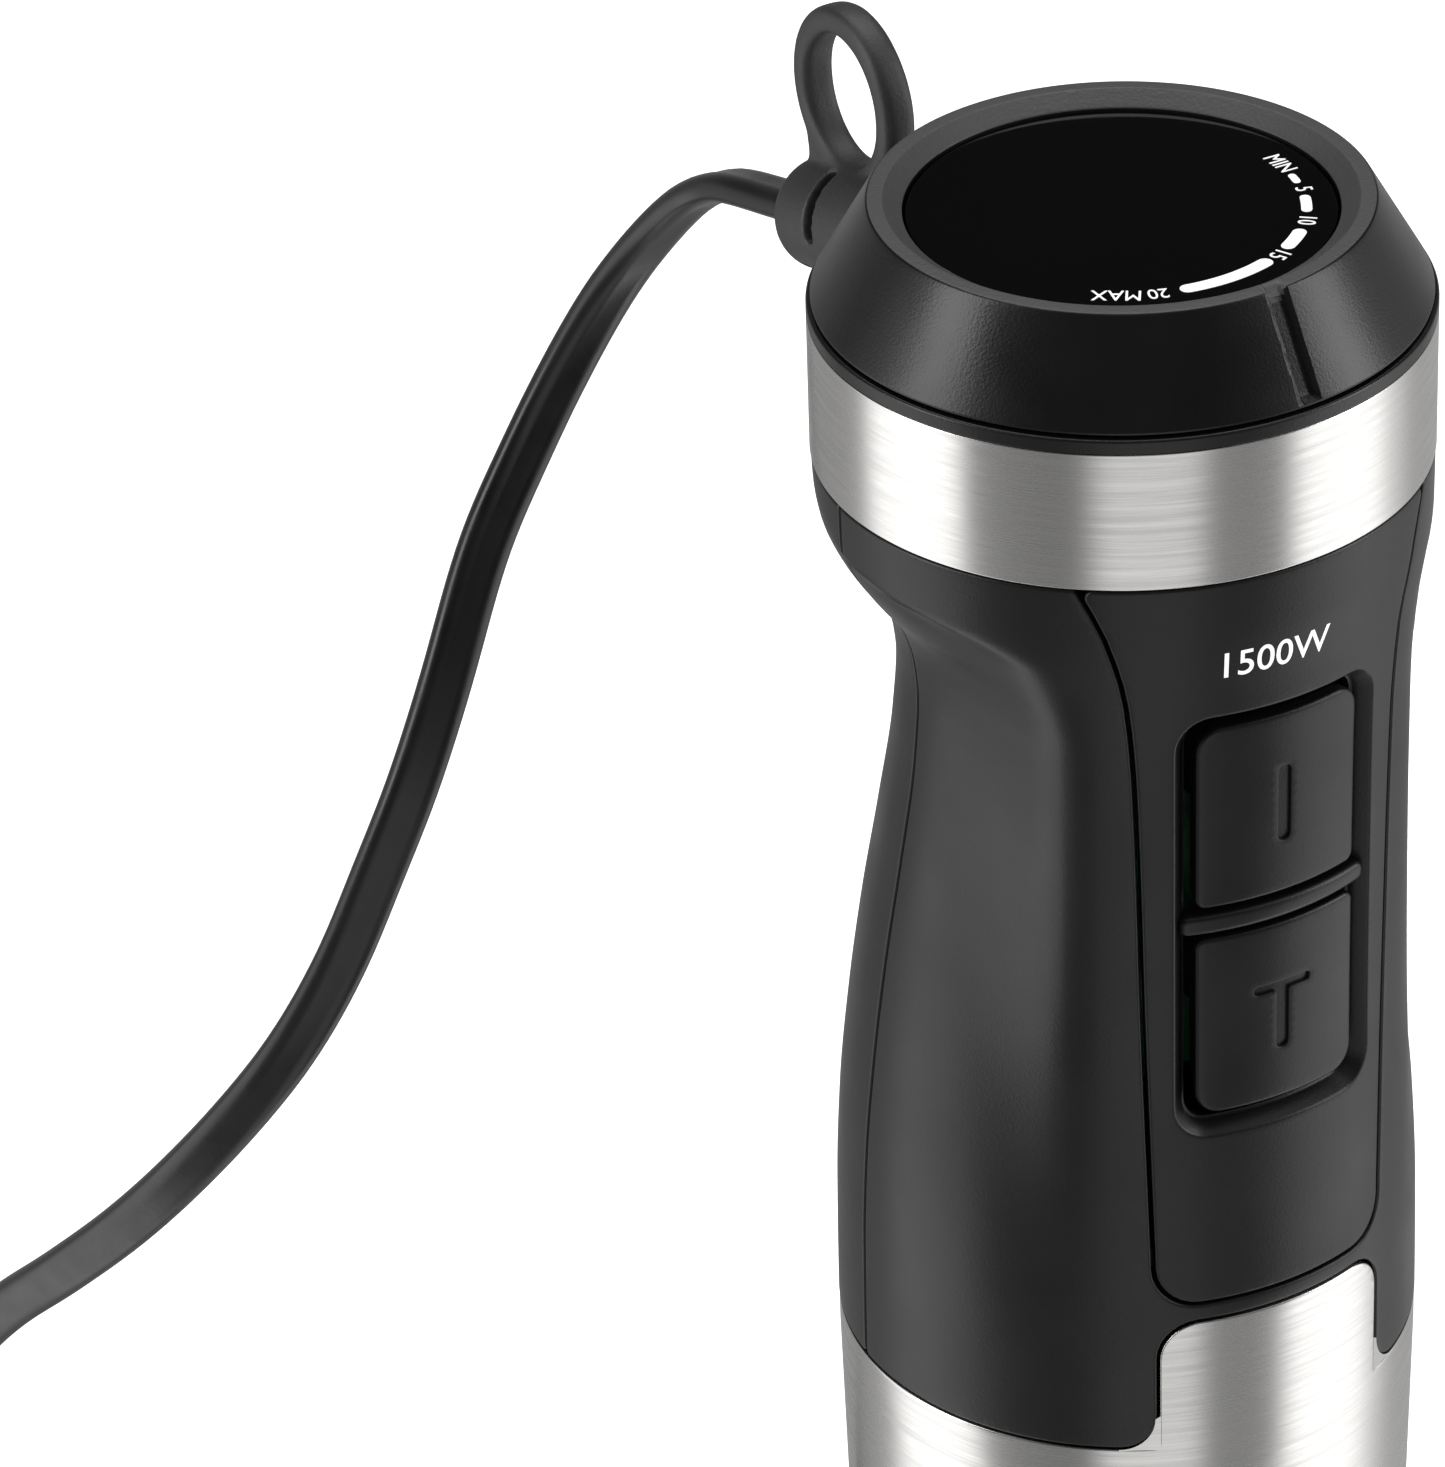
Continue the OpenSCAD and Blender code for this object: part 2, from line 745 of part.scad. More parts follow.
// Bars of the speed scale: [start angle, end angle, width], growing towards full speed
scale_bars = [[76.5, 80, 0.8], [57.5, 62, 1.1], [35.5, 40.5, 1.3], [-13, 20.5, 1.5]];
scale_r = 18.9;
module dial_scale() {
    color("#d8d8d8") for (b = scale_bars)
        translate([0, 0, glass_z + 0.01]) rotate([0, 0, b[0] - 90])
            rotate_extrude(angle = b[1] - b[0]) translate([scale_r - b[2] / 2, 0]) square([b[2], 0.1]);
}

module mains_wires() {
    color("#7a4a2a") for (x = [-1.5, 1.5]) {
        translate([x, 13, board_z - 0.91]) rotate([-90, 0, 0]) cylinder(h = 9.8, r = 0.9);
        translate([x, 22.8, board_z - 0.91]) sphere(0.9);
        on_relief() translate([x, 0, -10.6]) cylinder(h = 1.19, r = 0.9);
    }
}

// ---- Mains cord ----------------------------------------------------------
relief_len = 49.6;
loop_y = 55.9;
loop_z = glass_z - 10.4;
loop_r = 7.4;
loop_w = 2.8;
loop_t = 3.2;
module strain_relief() {
    color("#1c1c1d") difference() {
        union() {
            on_relief() {
                translate([0, 0, -9.4]) cylinder(h = 2.8, r = 7);
                translate([0, 0, -7]) cylinder(h = 9.5, r = neck_r);
                translate([0, 0, 2.1]) cylinder(h = 30.5, r = boot_r);
                translate([0, 0, 32.5]) cylinder(h = relief_len - 33.7, r1 = boot_r, r2 = 4.6);
                translate([0, 0, relief_len - 1.3]) cylinder(h = 1.3, r1 = 4.6, r2 = 3.6);
            }
            translate([-loop_t / 2, loop_y, loop_z]) rotate([0, 90, 0]) cylinder(h = loop_t, r = loop_r + loop_w);
            translate([-loop_t / 2, loop_y - 9, loop_z - 15]) cube([loop_t, 18, 8]);
        }
        translate([-5, loop_y, loop_z]) rotate([0, 90, 0]) cylinder(h = 10, r = loop_r);
        on_relief() for (slot = [[24, 1], [29.5, -1], [35.5, 1]])
            translate([-9, slot[1] > 0 ? 3.4 : -8.4, slot[0]]) cube([18, 5, 1.6]);
    }
}

// Route of the cord from the strain relief down to the floor and to the coil
route = [
    [0, 80.9, 367.9], [0, 86, 366], [-1, 92, 362], [-3, 99, 354], [-6, 104, 345.5], [-10.5, 107, 335.5],
    [-16, 107.5, 326], [-23, 106, 315.5], [-31, 102, 301.5], [-37, 100, 290.5], [-42, 100, 280.5],
    [-47.5, 101, 268.5], [-53, 104, 257], [-58, 110, 245.5], [-63, 118.5, 233], [-67, 128.5, 221],
    [-71, 140, 209], [-74, 152, 197.5], [-76, 164, 184], [-77, 176, 168], [-77, 188, 150], [-77, 199, 130],
    [-77, 210, 108], [-76, 221, 86], [-76, 232, 64], [-75, 243, 44], [-75, 254, 27], [-75, 264, 14.5],
    [-75, 272, 7.5]
];
// Flat coil of two by two turns on the floor; the tail leaves it at a slant, to one side of the bell,
// and rises into the plug
coil_mid = [-38, 285];
turn_r = 35;
coil_h = 13;
plug_x = coil_mid[0] + turn_r + 2;
plug_z = 18;
plug_y = 244;
tail_turn = 14;
tail_route = [[plug_x, 271, 10.1], [plug_x, 264, 11.6], [plug_x, 257, 14], [plug_x, 250.5, 16.6],
              [plug_x, plug_y, 18]];

module on_tail() {
    translate([coil_mid[0], coil_mid[1], 0]) rotate(tail_turn) translate([-coil_mid[0], -coil_mid[1], 0])
        children();
}

function smooth_point(p0, p1, p2, p3, t) =
    0.5 * (2 * p1 + (p2 - p0) * t + (2 * p0 - 5 * p1 + 4 * p2 - p3) * t * t
           + (3 * p1 - p0 - 3 * p2 + p3) * t * t * t);
function at(line, i) = line[min(max(i, 0), len(line) - 1)];
function smooth(line) = [for (i = [0:len(line) - 2], t = [0, 0.5])
                             smooth_point(at(line, i - 1), at(line, i), at(line, i + 1), at(line, i + 2), t),
                         line[len(line) - 1]];
function unit(v) = v / norm(v);
function along(line, i) = unit(at(line, i + 1) - at(line, i - 1));
// Direction of the flat side: level at the strain relief, facing forward half way, upright on the floor
function mix(a, b, t) = a + (b - a) * t;
function side_at(t) =
    t < 0.5 ? mix([1, 0, 0], [0.5, -0.66, -0.56], t / 0.5) : mix([0.5, -0.66, -0.56], [0, -0.2, -1], 2 * t - 1);
sides = 10;
function cord_ring(line, i, s0) =
    let (d = along(line, i), s = unit(s0 - (s0 * d) * d), u = cross(s, d))
    [for (k = [0:sides - 1]) line[i] + s * cord_w / 2 * cos(360 * k / sides)
                             + u * cord_t / 2 * sin(360 * k / sides)];
module swept_cord(rings) {
    n = len(rings);
    walls = [for (i = [0:n - 2], k = [0:sides - 1])
                 let (a = i * sides + k, b = i * sides + (k + 1) % sides)
                 each [[a, b, b + sides], [a, b + sides, a + sides]]];
    first = [for (k = [sides - 1:-1:0]) k];
    last = [for (k = [0:sides - 1]) (n - 1) * sides + k];
    color("#19191a") polyhedron([for (r = rings) each r], concat([first], walls, [last]));
}

module power_cord() {
    line = smooth(route);
    n = len(line) - 1;
    swept_cord([for (i = [0:n]) cord_ring(line, i, side_at(i / n))]);
}

module cord_tail() {
    line = smooth(tail_route);
    on_tail()
        swept_cord([for (i = [0:len(line) - 1]) cord_ring(line, i, mix([0, 0, -1], [-1, 0, -0.5], i / len(line)))]);
}

module cord_coil() {
    color("#19191a") translate([coil_mid[0], coil_mid[1], 0]) rotate_extrude()
        translate([turn_r - cord_t - 0.3, 0]) square([2 * cord_t + 0.6, coil_h]);
}

// Round two pin plug, lying on its side and pointing back at the blender
plug_r = 18;
plug_face_y = 203;
pin_root_r = 1.7;
module plug_body() {
    len = plug_y - plug_face_y;
    profile = [[0, 0], [plug_r - 1, 0], [plug_r, 1], [plug_r, 7], [plug_r - 1.5, 8.5], [13.5, 12],
               [12, 22], [9, 27], [6.2, 29.5], [4.6, len - 1], [3.9, len], [0, len]];
    color("#1a1a1b") on_tail() translate([plug_x, plug_face_y, plug_z]) rotate([-90, 0, 0]) difference() {
        turned(profile);
        for (side = [-1, 1]) translate([0, side * 24.5, 3]) cylinder(h = 30, r = 9.5);
        for (x = [-9.5, 9.5]) translate([x, 0, -1]) cylinder(h = 11, r = pin_root_r + eps);
    }
}

module plug_pins() {
    color("silver") on_tail() for (x = [-9.5, 9.5])
        translate([plug_x + x, plug_face_y, plug_z]) rotate([90, 0, 0]) {
            translate([0, 0, -9.9]) cylinder(h = 10, r = pin_root_r);
            translate([0, 0, 0.01]) cylinder(h = 18, r = 2.4);
            translate([0, 0, 18.01]) cylinder(h = 1, r1 = 2.4, r2 = 1.4);
        }
}

bell_guard();
foot_tube();
foot_collar();
latch_ring();
lower_bush();
shaft_seal();
upper_bush();
drive_shaft();
blade_hub();
blade_wings();
blade_nut();
foot_coupler();
coupling_ring();
lower_sleeve();
motor_frame();
release_button_left();
release_button_right();
release_springs();
lower_bearing();
upper_bearing();
bearing_bridge();
stator_core();
field_windings();
motor_shaft();
armature_core();
armature_windings();
commutator();
cooling_fan();
motor_coupler();
brush_holders();
carbon_brushes();
front_shell();
rear_shell();
button_panel();
on_button();
turbo_button();
micro_switches();
switch_board();
shell_screws();
steel_collar();
top_chassis();
cap_ring();
control_board();
board_parts();
speed_control();
control_pinion();
lens_carrier();
speed_dial();
dial_glass();
dial_scale();
mains_wires();
strain_relief();
power_cord();
cord_coil();
cord_tail();
plug_body();
plug_pins();
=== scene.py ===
import logging
import math
from collections.abc import Callable, Iterable, Sequence
from dataclasses import dataclass, field
from enum import Enum

import bmesh
import bpy
import numpy as np
from mathutils import Matrix, Vector
from mathutils.geometry import delaunay_2d_cdt


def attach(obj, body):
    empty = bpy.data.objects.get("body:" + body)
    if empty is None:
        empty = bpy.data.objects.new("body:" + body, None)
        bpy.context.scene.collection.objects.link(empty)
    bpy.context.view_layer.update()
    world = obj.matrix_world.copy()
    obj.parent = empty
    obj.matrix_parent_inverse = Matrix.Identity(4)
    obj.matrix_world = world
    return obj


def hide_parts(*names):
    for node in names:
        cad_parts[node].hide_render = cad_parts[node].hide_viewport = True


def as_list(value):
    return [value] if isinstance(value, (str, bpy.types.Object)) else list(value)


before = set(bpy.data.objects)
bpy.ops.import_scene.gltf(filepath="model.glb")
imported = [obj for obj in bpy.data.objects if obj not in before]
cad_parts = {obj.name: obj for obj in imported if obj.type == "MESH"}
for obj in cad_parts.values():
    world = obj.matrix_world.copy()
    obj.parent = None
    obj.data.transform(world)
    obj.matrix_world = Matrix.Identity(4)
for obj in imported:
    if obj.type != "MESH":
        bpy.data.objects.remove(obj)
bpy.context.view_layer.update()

log = logging.getLogger("hand_blender")

MM = 0.001
GLASS_Z = 400.0
UNROLL_R = 32.3
SCREW_X = 9.0
SCREW_ZS = (276.0, 362.0)
Point2 = tuple[float, float]


# ---------------------------------------------------------------- colours and nodes


def linear(hex_colour: str) -> tuple[float, float, float, float]:
    """Turns an sRGB hex colour into the linear colour that shaders take.

    Args:
        hex_colour: Six hex digits, such as "1b1b1c".

    Returns:
        Linear red, green, blue and an alpha of one.
    """
    parts = [int(hex_colour[i:i + 2], 16) / 255 for i in (0, 2, 4)]
    red, green, blue = [c / 12.92 if c <= 0.04045 else ((c + 0.055) / 1.055) ** 2.4 for c in parts]
    return red, green, blue, 1.0


def add_node(tree: bpy.types.NodeTree, kind: str, inputs: dict | None = None, **settings) -> bpy.types.Node:
    """Adds one node, sets it and links it.

    Args:
        tree: The node tree that takes the node.
        kind: The node's type name.
        inputs: Socket name or number to a value, or to the socket that feeds it.
        **settings: The node's own properties.

    Returns:
        The new node.
    """
    node = tree.nodes.new(kind)
    for name, value in settings.items():
        setattr(node, name, value)
    for name, value in (inputs or {}).items():
        if isinstance(value, bpy.types.NodeSocket):
            tree.links.new(value, node.inputs[name])
        else:
            node.inputs[name].default_value = value
    return node


# ---------------------------------------------------------------- finishes


@dataclass(frozen=True)
class Finish:
    """A material and how its surface was made; each kind adds its own pattern."""

    name: str
    colour: str
    roughness: float
    ior: float = 1.5

    def surface(self, tree: bpy.types.NodeTree, place: bpy.types.NodeSocket) -> dict:
        """Gives the shader's sockets; the plain finish has a constant colour and roughness.

        Args:
            tree: The material's node tree.
            place: Position on the piece, in metres.

        Returns:
            Socket name to a value, or to the socket that feeds it.
        """
        return {"Base Color": linear(self.colour), "Roughness": self.roughness, "IOR": self.ior}

    def material(self) -> bpy.types.Material:
        """Makes the material once and returns it."""
        made = bpy.data.materials.get(self.name)
        if made:
            return made
        made = bpy.data.materials.new(self.name)
        made.use_nodes = True
        tree = made.node_tree
        tree.nodes.clear()
        place = add_node(tree, "ShaderNodeTexCoord").outputs["Object"]
        shader = add_node(tree, "ShaderNodeBsdfPrincipled", self.surface(tree, place))
        add_node(tree, "ShaderNodeOutputMaterial", {"Surface": shader.outputs["BSDF"]})
        return made


@dataclass(frozen=True)
class MouldedPlastic(Finish):
    """ABS or nylon from a spark-eroded mould: a fine pebble grain that breaks up the gloss."""

    grain_mm: float = 0.28
    grain_depth: float = 0.35
    mottle: float = 0.05
    shine: float = 0.5

    def surface(self, tree: bpy.types.NodeTree, place: bpy.types.NodeSocket) -> dict:
        """Pebble grain as bump, with a slow change of gloss where hands have polished it."""
        grain = add_node(tree, "ShaderNodeTexVoronoi", {"Vector": place, "Scale": 1 / (self.grain_mm * MM),
                                                        "Smoothness": 0.6, "Randomness": 1.0},
                         feature="SMOOTH_F1")
        fine = add_node(tree, "ShaderNodeTexNoise", {"Vector": place, "Scale": 0.7 / (self.grain_mm * MM),
                                                     "Detail": 2.0})
        relief = add_node(tree, "ShaderNodeMath", {0: grain.outputs["Distance"], 1: fine.outputs["Fac"]},
                          operation="MULTIPLY")
        bump = add_node(tree, "ShaderNodeBump", {"Height": relief.outputs[0], "Strength": self.grain_depth,
                                                 "Distance": 0.06 * MM})
        slow = add_node(tree, "ShaderNodeTexNoise", {"Vector": place, "Scale": 1 / (14 * MM), "Detail": 3.0})
        gloss = add_node(tree, "ShaderNodeMapRange", {"Value": slow.outputs["Fac"], "From Min": 0.3,
                                                      "From Max": 0.7, "To Min": self.roughness - self.mottle,
                                                      "To Max": self.roughness + self.mottle})
        return {"Base Color": linear(self.colour), "Roughness": gloss.outputs["Result"], "IOR": self.ior,
                "Specular IOR Level": self.shine, "Normal": bump.outputs["Normal"]}


@dataclass(frozen=True)
class PolishedAcrylic(Finish):
    """Black-backed acrylic window, polished flat: a deep mirror with only a trace of handling haze."""

    def surface(self, tree: bpy.types.NodeTree, place: bpy.types.NodeSocket) -> dict:
        """Faint wipe marks change the gloss a little."""
        haze = add_node(tree, "ShaderNodeTexNoise", {"Vector": place, "Scale": 1 / (9 * MM), "Detail": 5.0})
        gloss = add_node(tree, "ShaderNodeMapRange", {"Value": haze.outputs["Fac"], "From Min": 0.35,
                                                      "From Max": 0.75, "To Min": self.roughness,
                                                      "To Max": self.roughness + 0.05})
        return {"Base Color": linear(self.colour), "Roughness": gloss.outputs["Result"], "IOR": self.ior}


@dataclass(frozen=True)
class BrushedSteel(Finish):
    """Stainless sheet brushed round the axis with a fine abrasive belt: short level hairlines."""

    line_mm: float = 0.16
    line_length_mm: float = 9.0
    streak: float = 0.14
    radius_mm: float = 33.0

    def surface(self, tree: bpy.types.NodeTree, place: bpy.types.NodeSocket) -> dict:
        """Hairlines that run round the axis, as colour, gloss and a shallow bump.

        Belt scratches are about 0.03 mm wide; they are drawn five times coarser so that they show.
        """
        split = add_node(tree, "ShaderNodeSeparateXYZ", {"Vector": place})
        turn = add_node(tree, "ShaderNodeMath", {0: split.outputs["Y"], 1: split.outputs["X"]},
                        operation="ARCTAN2")
        along = add_node(tree, "ShaderNodeMath", {0: turn.outputs[0],
                                                  1: self.radius_mm / self.line_length_mm},
                         operation="MULTIPLY")
        across = add_node(tree, "ShaderNodeMath", {0: split.outputs["Z"], 1: 1 / (self.line_mm * MM)},
                          operation="MULTIPLY")
        lay = add_node(tree, "ShaderNodeCombineXYZ", {"X": along.outputs[0], "Y": across.outputs[0]})
        lines = add_node(tree, "ShaderNodeTexNoise", {"Vector": lay.outputs[0], "Scale": 1.0, "Detail": 4.0,
                                                      "Roughness": 0.7})
        broad = add_node(tree, "ShaderNodeTexNoise", {"Vector": lay.outputs[0], "Scale": 0.23, "Detail": 2.0})
        both = add_node(tree, "ShaderNodeMath", {0: lines.outputs["Fac"], 1: broad.outputs["Fac"]},
                        operation="ADD")
        tone = add_node(tree, "ShaderNodeMapRange", {"Value": both.outputs[0], "From Min": 0.7,
                                                     "From Max": 1.3, "To Min": 1 - self.streak,
                                                     "To Max": 1 + self.streak * 0.4})
        colour = add_node(tree, "ShaderNodeVectorMath", {0: linear(self.colour)[:3]}, operation="SCALE")
        tree.links.new(tone.outputs["Result"], colour.inputs["Scale"])
        gloss = add_node(tree, "ShaderNodeMapRange", {"Value": both.outputs[0], "From Min": 0.7,
                                                      "From Max": 1.3, "To Min": self.roughness + 0.07,
                                                      "To Max": self.roughness - 0.05})
        bump = add_node(tree, "ShaderNodeBump", {"Height": lines.outputs["Fac"], "Strength": 0.10,
                                                 "Distance": 0.02 * MM})
        tangent = add_node(tree, "ShaderNodeTangent", direction_type="RADIAL", axis="Z")
        return {"Base Color": colour.outputs[0], "Metallic": 1.0, "Roughness": gloss.outputs["Result"],
                "Anisotropic": 0.75, "Anisotropic Rotation": 0.25, "Normal": bump.outputs["Normal"],
                "Tangent": tangent.outputs[0]}


@dataclass(frozen=True)
class TurnedMetal(Finish):
    """Machined, ground or pressed metal: faint tool rings and a soft sheen."""

    ring_mm: float = 0.25

    def surface(self, tree: bpy.types.NodeTree, place: bpy.types.NodeSocket) -> dict:
        """Tool marks across the height, and slow stains in the tone."""
        lay = add_node(tree, "ShaderNodeMapping", {"Vector": place,
                                                   "Scale": (60.0, 60.0, 1 / (self.ring_mm * MM))})
        marks = add_node(tree, "ShaderNodeTexNoise", {"Vector": lay.outputs[0], "Scale": 1.0, "Detail": 3.0})
        gloss = add_node(tree, "ShaderNodeMapRange", {"Value": marks.outputs["Fac"], "From Min": 0.3,
                                                      "From Max": 0.7, "To Min": self.roughness - 0.06,
                                                      "To Max": self.roughness + 0.08})
        bump = add_node(tree, "ShaderNodeBump", {"Height": marks.outputs["Fac"], "Strength": 0.15,
                                                 "Distance": 0.02 * MM})
        return {"Base Color": linear(self.colour), "Metallic": 1.0, "Roughness": gloss.outputs["Result"],
                "Normal": bump.outputs["Normal"]}


@dataclass(frozen=True)
class SoftVinyl(Finish):
    """Extruded or moulded flexible PVC: satin, with a faint draw line or a fine matt grain."""

    grain_mm: float = 0.4
    depth: float = 0.3

    def surface(self, tree: bpy.types.NodeTree, place: bpy.types.NodeSocket) -> dict:
        """Matt grain as bump and a slow bloom in the gloss."""
        grain = add_node(tree, "ShaderNodeTexNoise", {"Vector": place, "Scale": 1 / (self.grain_mm * MM),
                                                      "Detail": 4.0, "Roughness": 0.65})
        bump = add_node(tree, "ShaderNodeBump", {"Height": grain.outputs["Fac"], "Strength": self.depth,
                                                 "Distance": 0.08 * MM})
        bloom = add_node(tree, "ShaderNodeTexNoise", {"Vector": place, "Scale": 1 / (6 * MM), "Detail": 3.0})
        gloss = add_node(tree, "ShaderNodeMapRange", {"Value": bloom.outputs["Fac"], "From Min": 0.3,
                                                      "From Max": 0.7, "To Min": self.roughness - 0.05,
                                                      "To Max": self.roughness + 0.05})
        return {"Base Color": linear(self.colour), "Roughness": gloss.outputs["Result"], "IOR": self.ior,
                "Normal": bump.outputs["Normal"]}


@dataclass(frozen=True)
class WoundCopper(Finish):
    """Enamelled copper wire wound tight: fine parallel wires under a clear brown enamel."""

    wire_mm: float = 0.45

    def surface(self, tree: bpy.types.NodeTree, place: bpy.types.NodeSocket) -> dict:
        """Wires as a level wave bump."""
        wave = add_node(tree, "ShaderNodeTexWave", {"Vector": place, "Scale": 0.314 / (self.wire_mm * MM),
                                                    "Distortion": 0.4}, bands_direction="Z")
        bump = add_node(tree, "ShaderNodeBump", {"Height": wave.outputs["Fac"], "Strength": 0.6,
                                                 "Distance": 0.2 * MM})
        return {"Base Color": linear(self.colour), "Metallic": 0.85, "Roughness": self.roughness,
                "Normal": bump.outputs["Normal"]}


GRIP_ABS = MouldedPlastic("grip_abs_black", "0b0b0c", 0.34, grain_mm=0.30, grain_depth=0.26, shine=0.32)
DIAL_ABS = MouldedPlastic("dial_abs_black", "0a0a0b", 0.30, grain_mm=0.30, grain_depth=0.30, shine=0.32)
# Lip and dish: the dial's black ABS with a real spark-eroded grain as bump, but with a lighter grey base
# colour that is painted sheen where the top faces the light.
LIP_GRAIN_PAINTED_SHEEN = MouldedPlastic("dial_lip_spark_eroded", "2c2c2d", 0.52, grain_mm=0.40, grain_depth=0.9)
PANEL_ABS = MouldedPlastic("panel_abs_black", "0b0b0c", 0.36, grain_mm=0.26, grain_depth=0.30, shine=0.3)
KEY_ABS = MouldedPlastic("key_abs_black", "090909", 0.34, grain_mm=0.26, grain_depth=0.22, shine=0.28)
WINDOW_ACRYLIC = PolishedAcrylic("window_acrylic_black", "040405", 0.05, ior=1.49)
COLLAR_STEEL = BrushedSteel("collar_stainless_brushed", "c9c8c6", 0.25)
SLEEVE_STEEL = BrushedSteel("sleeve_stainless_brushed", "cac9c7", 0.25, radius_mm=32.0)
FOOT_STEEL = BrushedSteel("foot_stainless_brushed", "c6c5c2", 0.24, radius_mm=20.0, streak=0.10)
MACHINED_STEEL = TurnedMetal("machined_steel", "b4b4b4", 0.30)
LAMINATED_STEEL = TurnedMetal("laminated_core_steel", "8a8c8f", 0.45, ring_mm=0.5)
NICKEL_PLATE = TurnedMetal("nickel_plated_brass", "d2cfc4", 0.18)
SINTERED_BRONZE = TurnedMetal("sintered_bronze", "a9824c", 0.48)
COPPER_WIRE = WoundCopper("enamelled_copper_wire", "8e4a22", 0.38)
PRESSED_CARBON = MouldedPlastic("pressed_carbon", "2a2a2b", 0.60, grain_mm=0.2, grain_depth=0.5)
SOLDER_MASK = MouldedPlastic("board_solder_mask_green", "1d4a2e", 0.30, grain_mm=0.5, grain_depth=0.15)
PART_CASES = MouldedPlastic("component_case_epoxy", "262a3c", 0.45, grain_mm=0.4, grain_depth=0.3)
NATURAL_NYLON = MouldedPlastic("natural_nylon", "e4decb", 0.42, grain_mm=0.3, grain_depth=0.2)
GLASS_NYLON = MouldedPlastic("glass_filled_nylon", "3b3b3d", 0.50, grain_mm=0.25, grain_depth=0.5)
PAD_PRINT = MouldedPlastic("pad_print_light_grey", "dedede", 0.45, grain_mm=0.2, grain_depth=0.1)
CORD_VINYL = SoftVinyl("cord_pvc_black", "0b0b0c", 0.30, grain_mm=0.9, depth=0.18, ior=1.42)
RELIEF_VINYL = SoftVinyl("relief_pvc_matt", "1c1c1d", 0.52, grain_mm=0.42, depth=0.75)
PLUG_VINYL = SoftVinyl("plug_pvc_matt", "161617", 0.48, grain_mm=0.4, depth=0.5)

NODE_FINISHES: dict[Finish, tuple[str, ...]] = {
    MACHINED_STEEL: ("latch_ring", "drive_shaft", "blade_hub", "blade_wings", "blade_nut", "release_springs",
                     "lower_bearing", "upper_bearing", "motor_shaft"),
    LAMINATED_STEEL: ("stator_core", "armature_core"),
    SINTERED_BRONZE: ("lower_bush", "upper_bush"),
    COPPER_WIRE: ("field_windings", "armature_windings", "commutator", "mains_wires"),
    PRESSED_CARBON: ("carbon_brushes",),
    SOLDER_MASK: ("switch_board", "control_board"),
    PART_CASES: ("board_parts", "speed_control", "micro_switches"),
    NATURAL_NYLON: ("foot_coupler", "motor_coupler", "control_pinion"),
    GLASS_NYLON: ("motor_frame", "bearing_bridge", "cooling_fan", "brush_holders", "top_chassis",
                  "lens_carrier"),
    PLUG_VINYL: ("shaft_seal",),
}


class Slot(Enum):
    """Material slot names that the builders pass with each new piece."""

    STEEL = "brushed_steel"
    SATIN = "satin_plastic"
    GLOSS = "gloss_black"
    PRINT = "white_print"
    RUBBER = "soft_rubber"
    MACHINED = "machined_steel"
    NICKEL = "pin_nickel"


# ---------------------------------------------------------------- lines and skins


class Knots:
    """A smooth line through a few (position, value) knots."""

    def __init__(self, knots: Sequence[Point2]) -> None:
        """Keeps the knots and works out the slope at each of them."""
        self.x, self.y = np.array(knots, float).T
        step = np.diff(self.y) / np.diff(self.x)
        slope = np.zeros(len(self.x))
        slope[1:-1] = np.where(step[1:] * step[:-1] > 0,
                               2 * step[1:] * step[:-1] / (step[1:] + step[:-1] + 1e-12), 0)
        self.slope = slope

    def __call__(self, at: np.ndarray) -> np.ndarray:
        """Reads the line; it stays level past its ends.

        Args:
            at: Positions.

        Returns:
            The line's value at each of them.
        """
        at = np.clip(np.asarray(at, float), self.x[0], self.x[-1])
        i = np.clip(np.searchsorted(self.x, at) - 1, 0, len(self.x) - 2)
        width = self.x[i + 1] - self.x[i]
        t = (at - self.x[i]) / width
        return (self.y[i] * (2 * t ** 3 - 3 * t ** 2 + 1) + self.slope[i] * width * (t ** 3 - 2 * t ** 2 + t)
                + self.y[i + 1] * (3 * t ** 2 - 2 * t ** 3) + self.slope[i + 1] * width * (t ** 3 - t ** 2))


class Skin:
    """A surface that flat outlines are wrapped on: across is measured round the blender, in mm."""

    def wrap(self, across: np.ndarray, up: np.ndarray, depth: np.ndarray) -> np.ndarray:
        """Places points on the surface.

        Args:
            across: Distance round the blender from its front, in mm.
            up: Distance up the surface, in mm.
            depth: Distance under the surface, in mm.

        Returns:
            The points in mm.
        """
        raise NotImplementedError


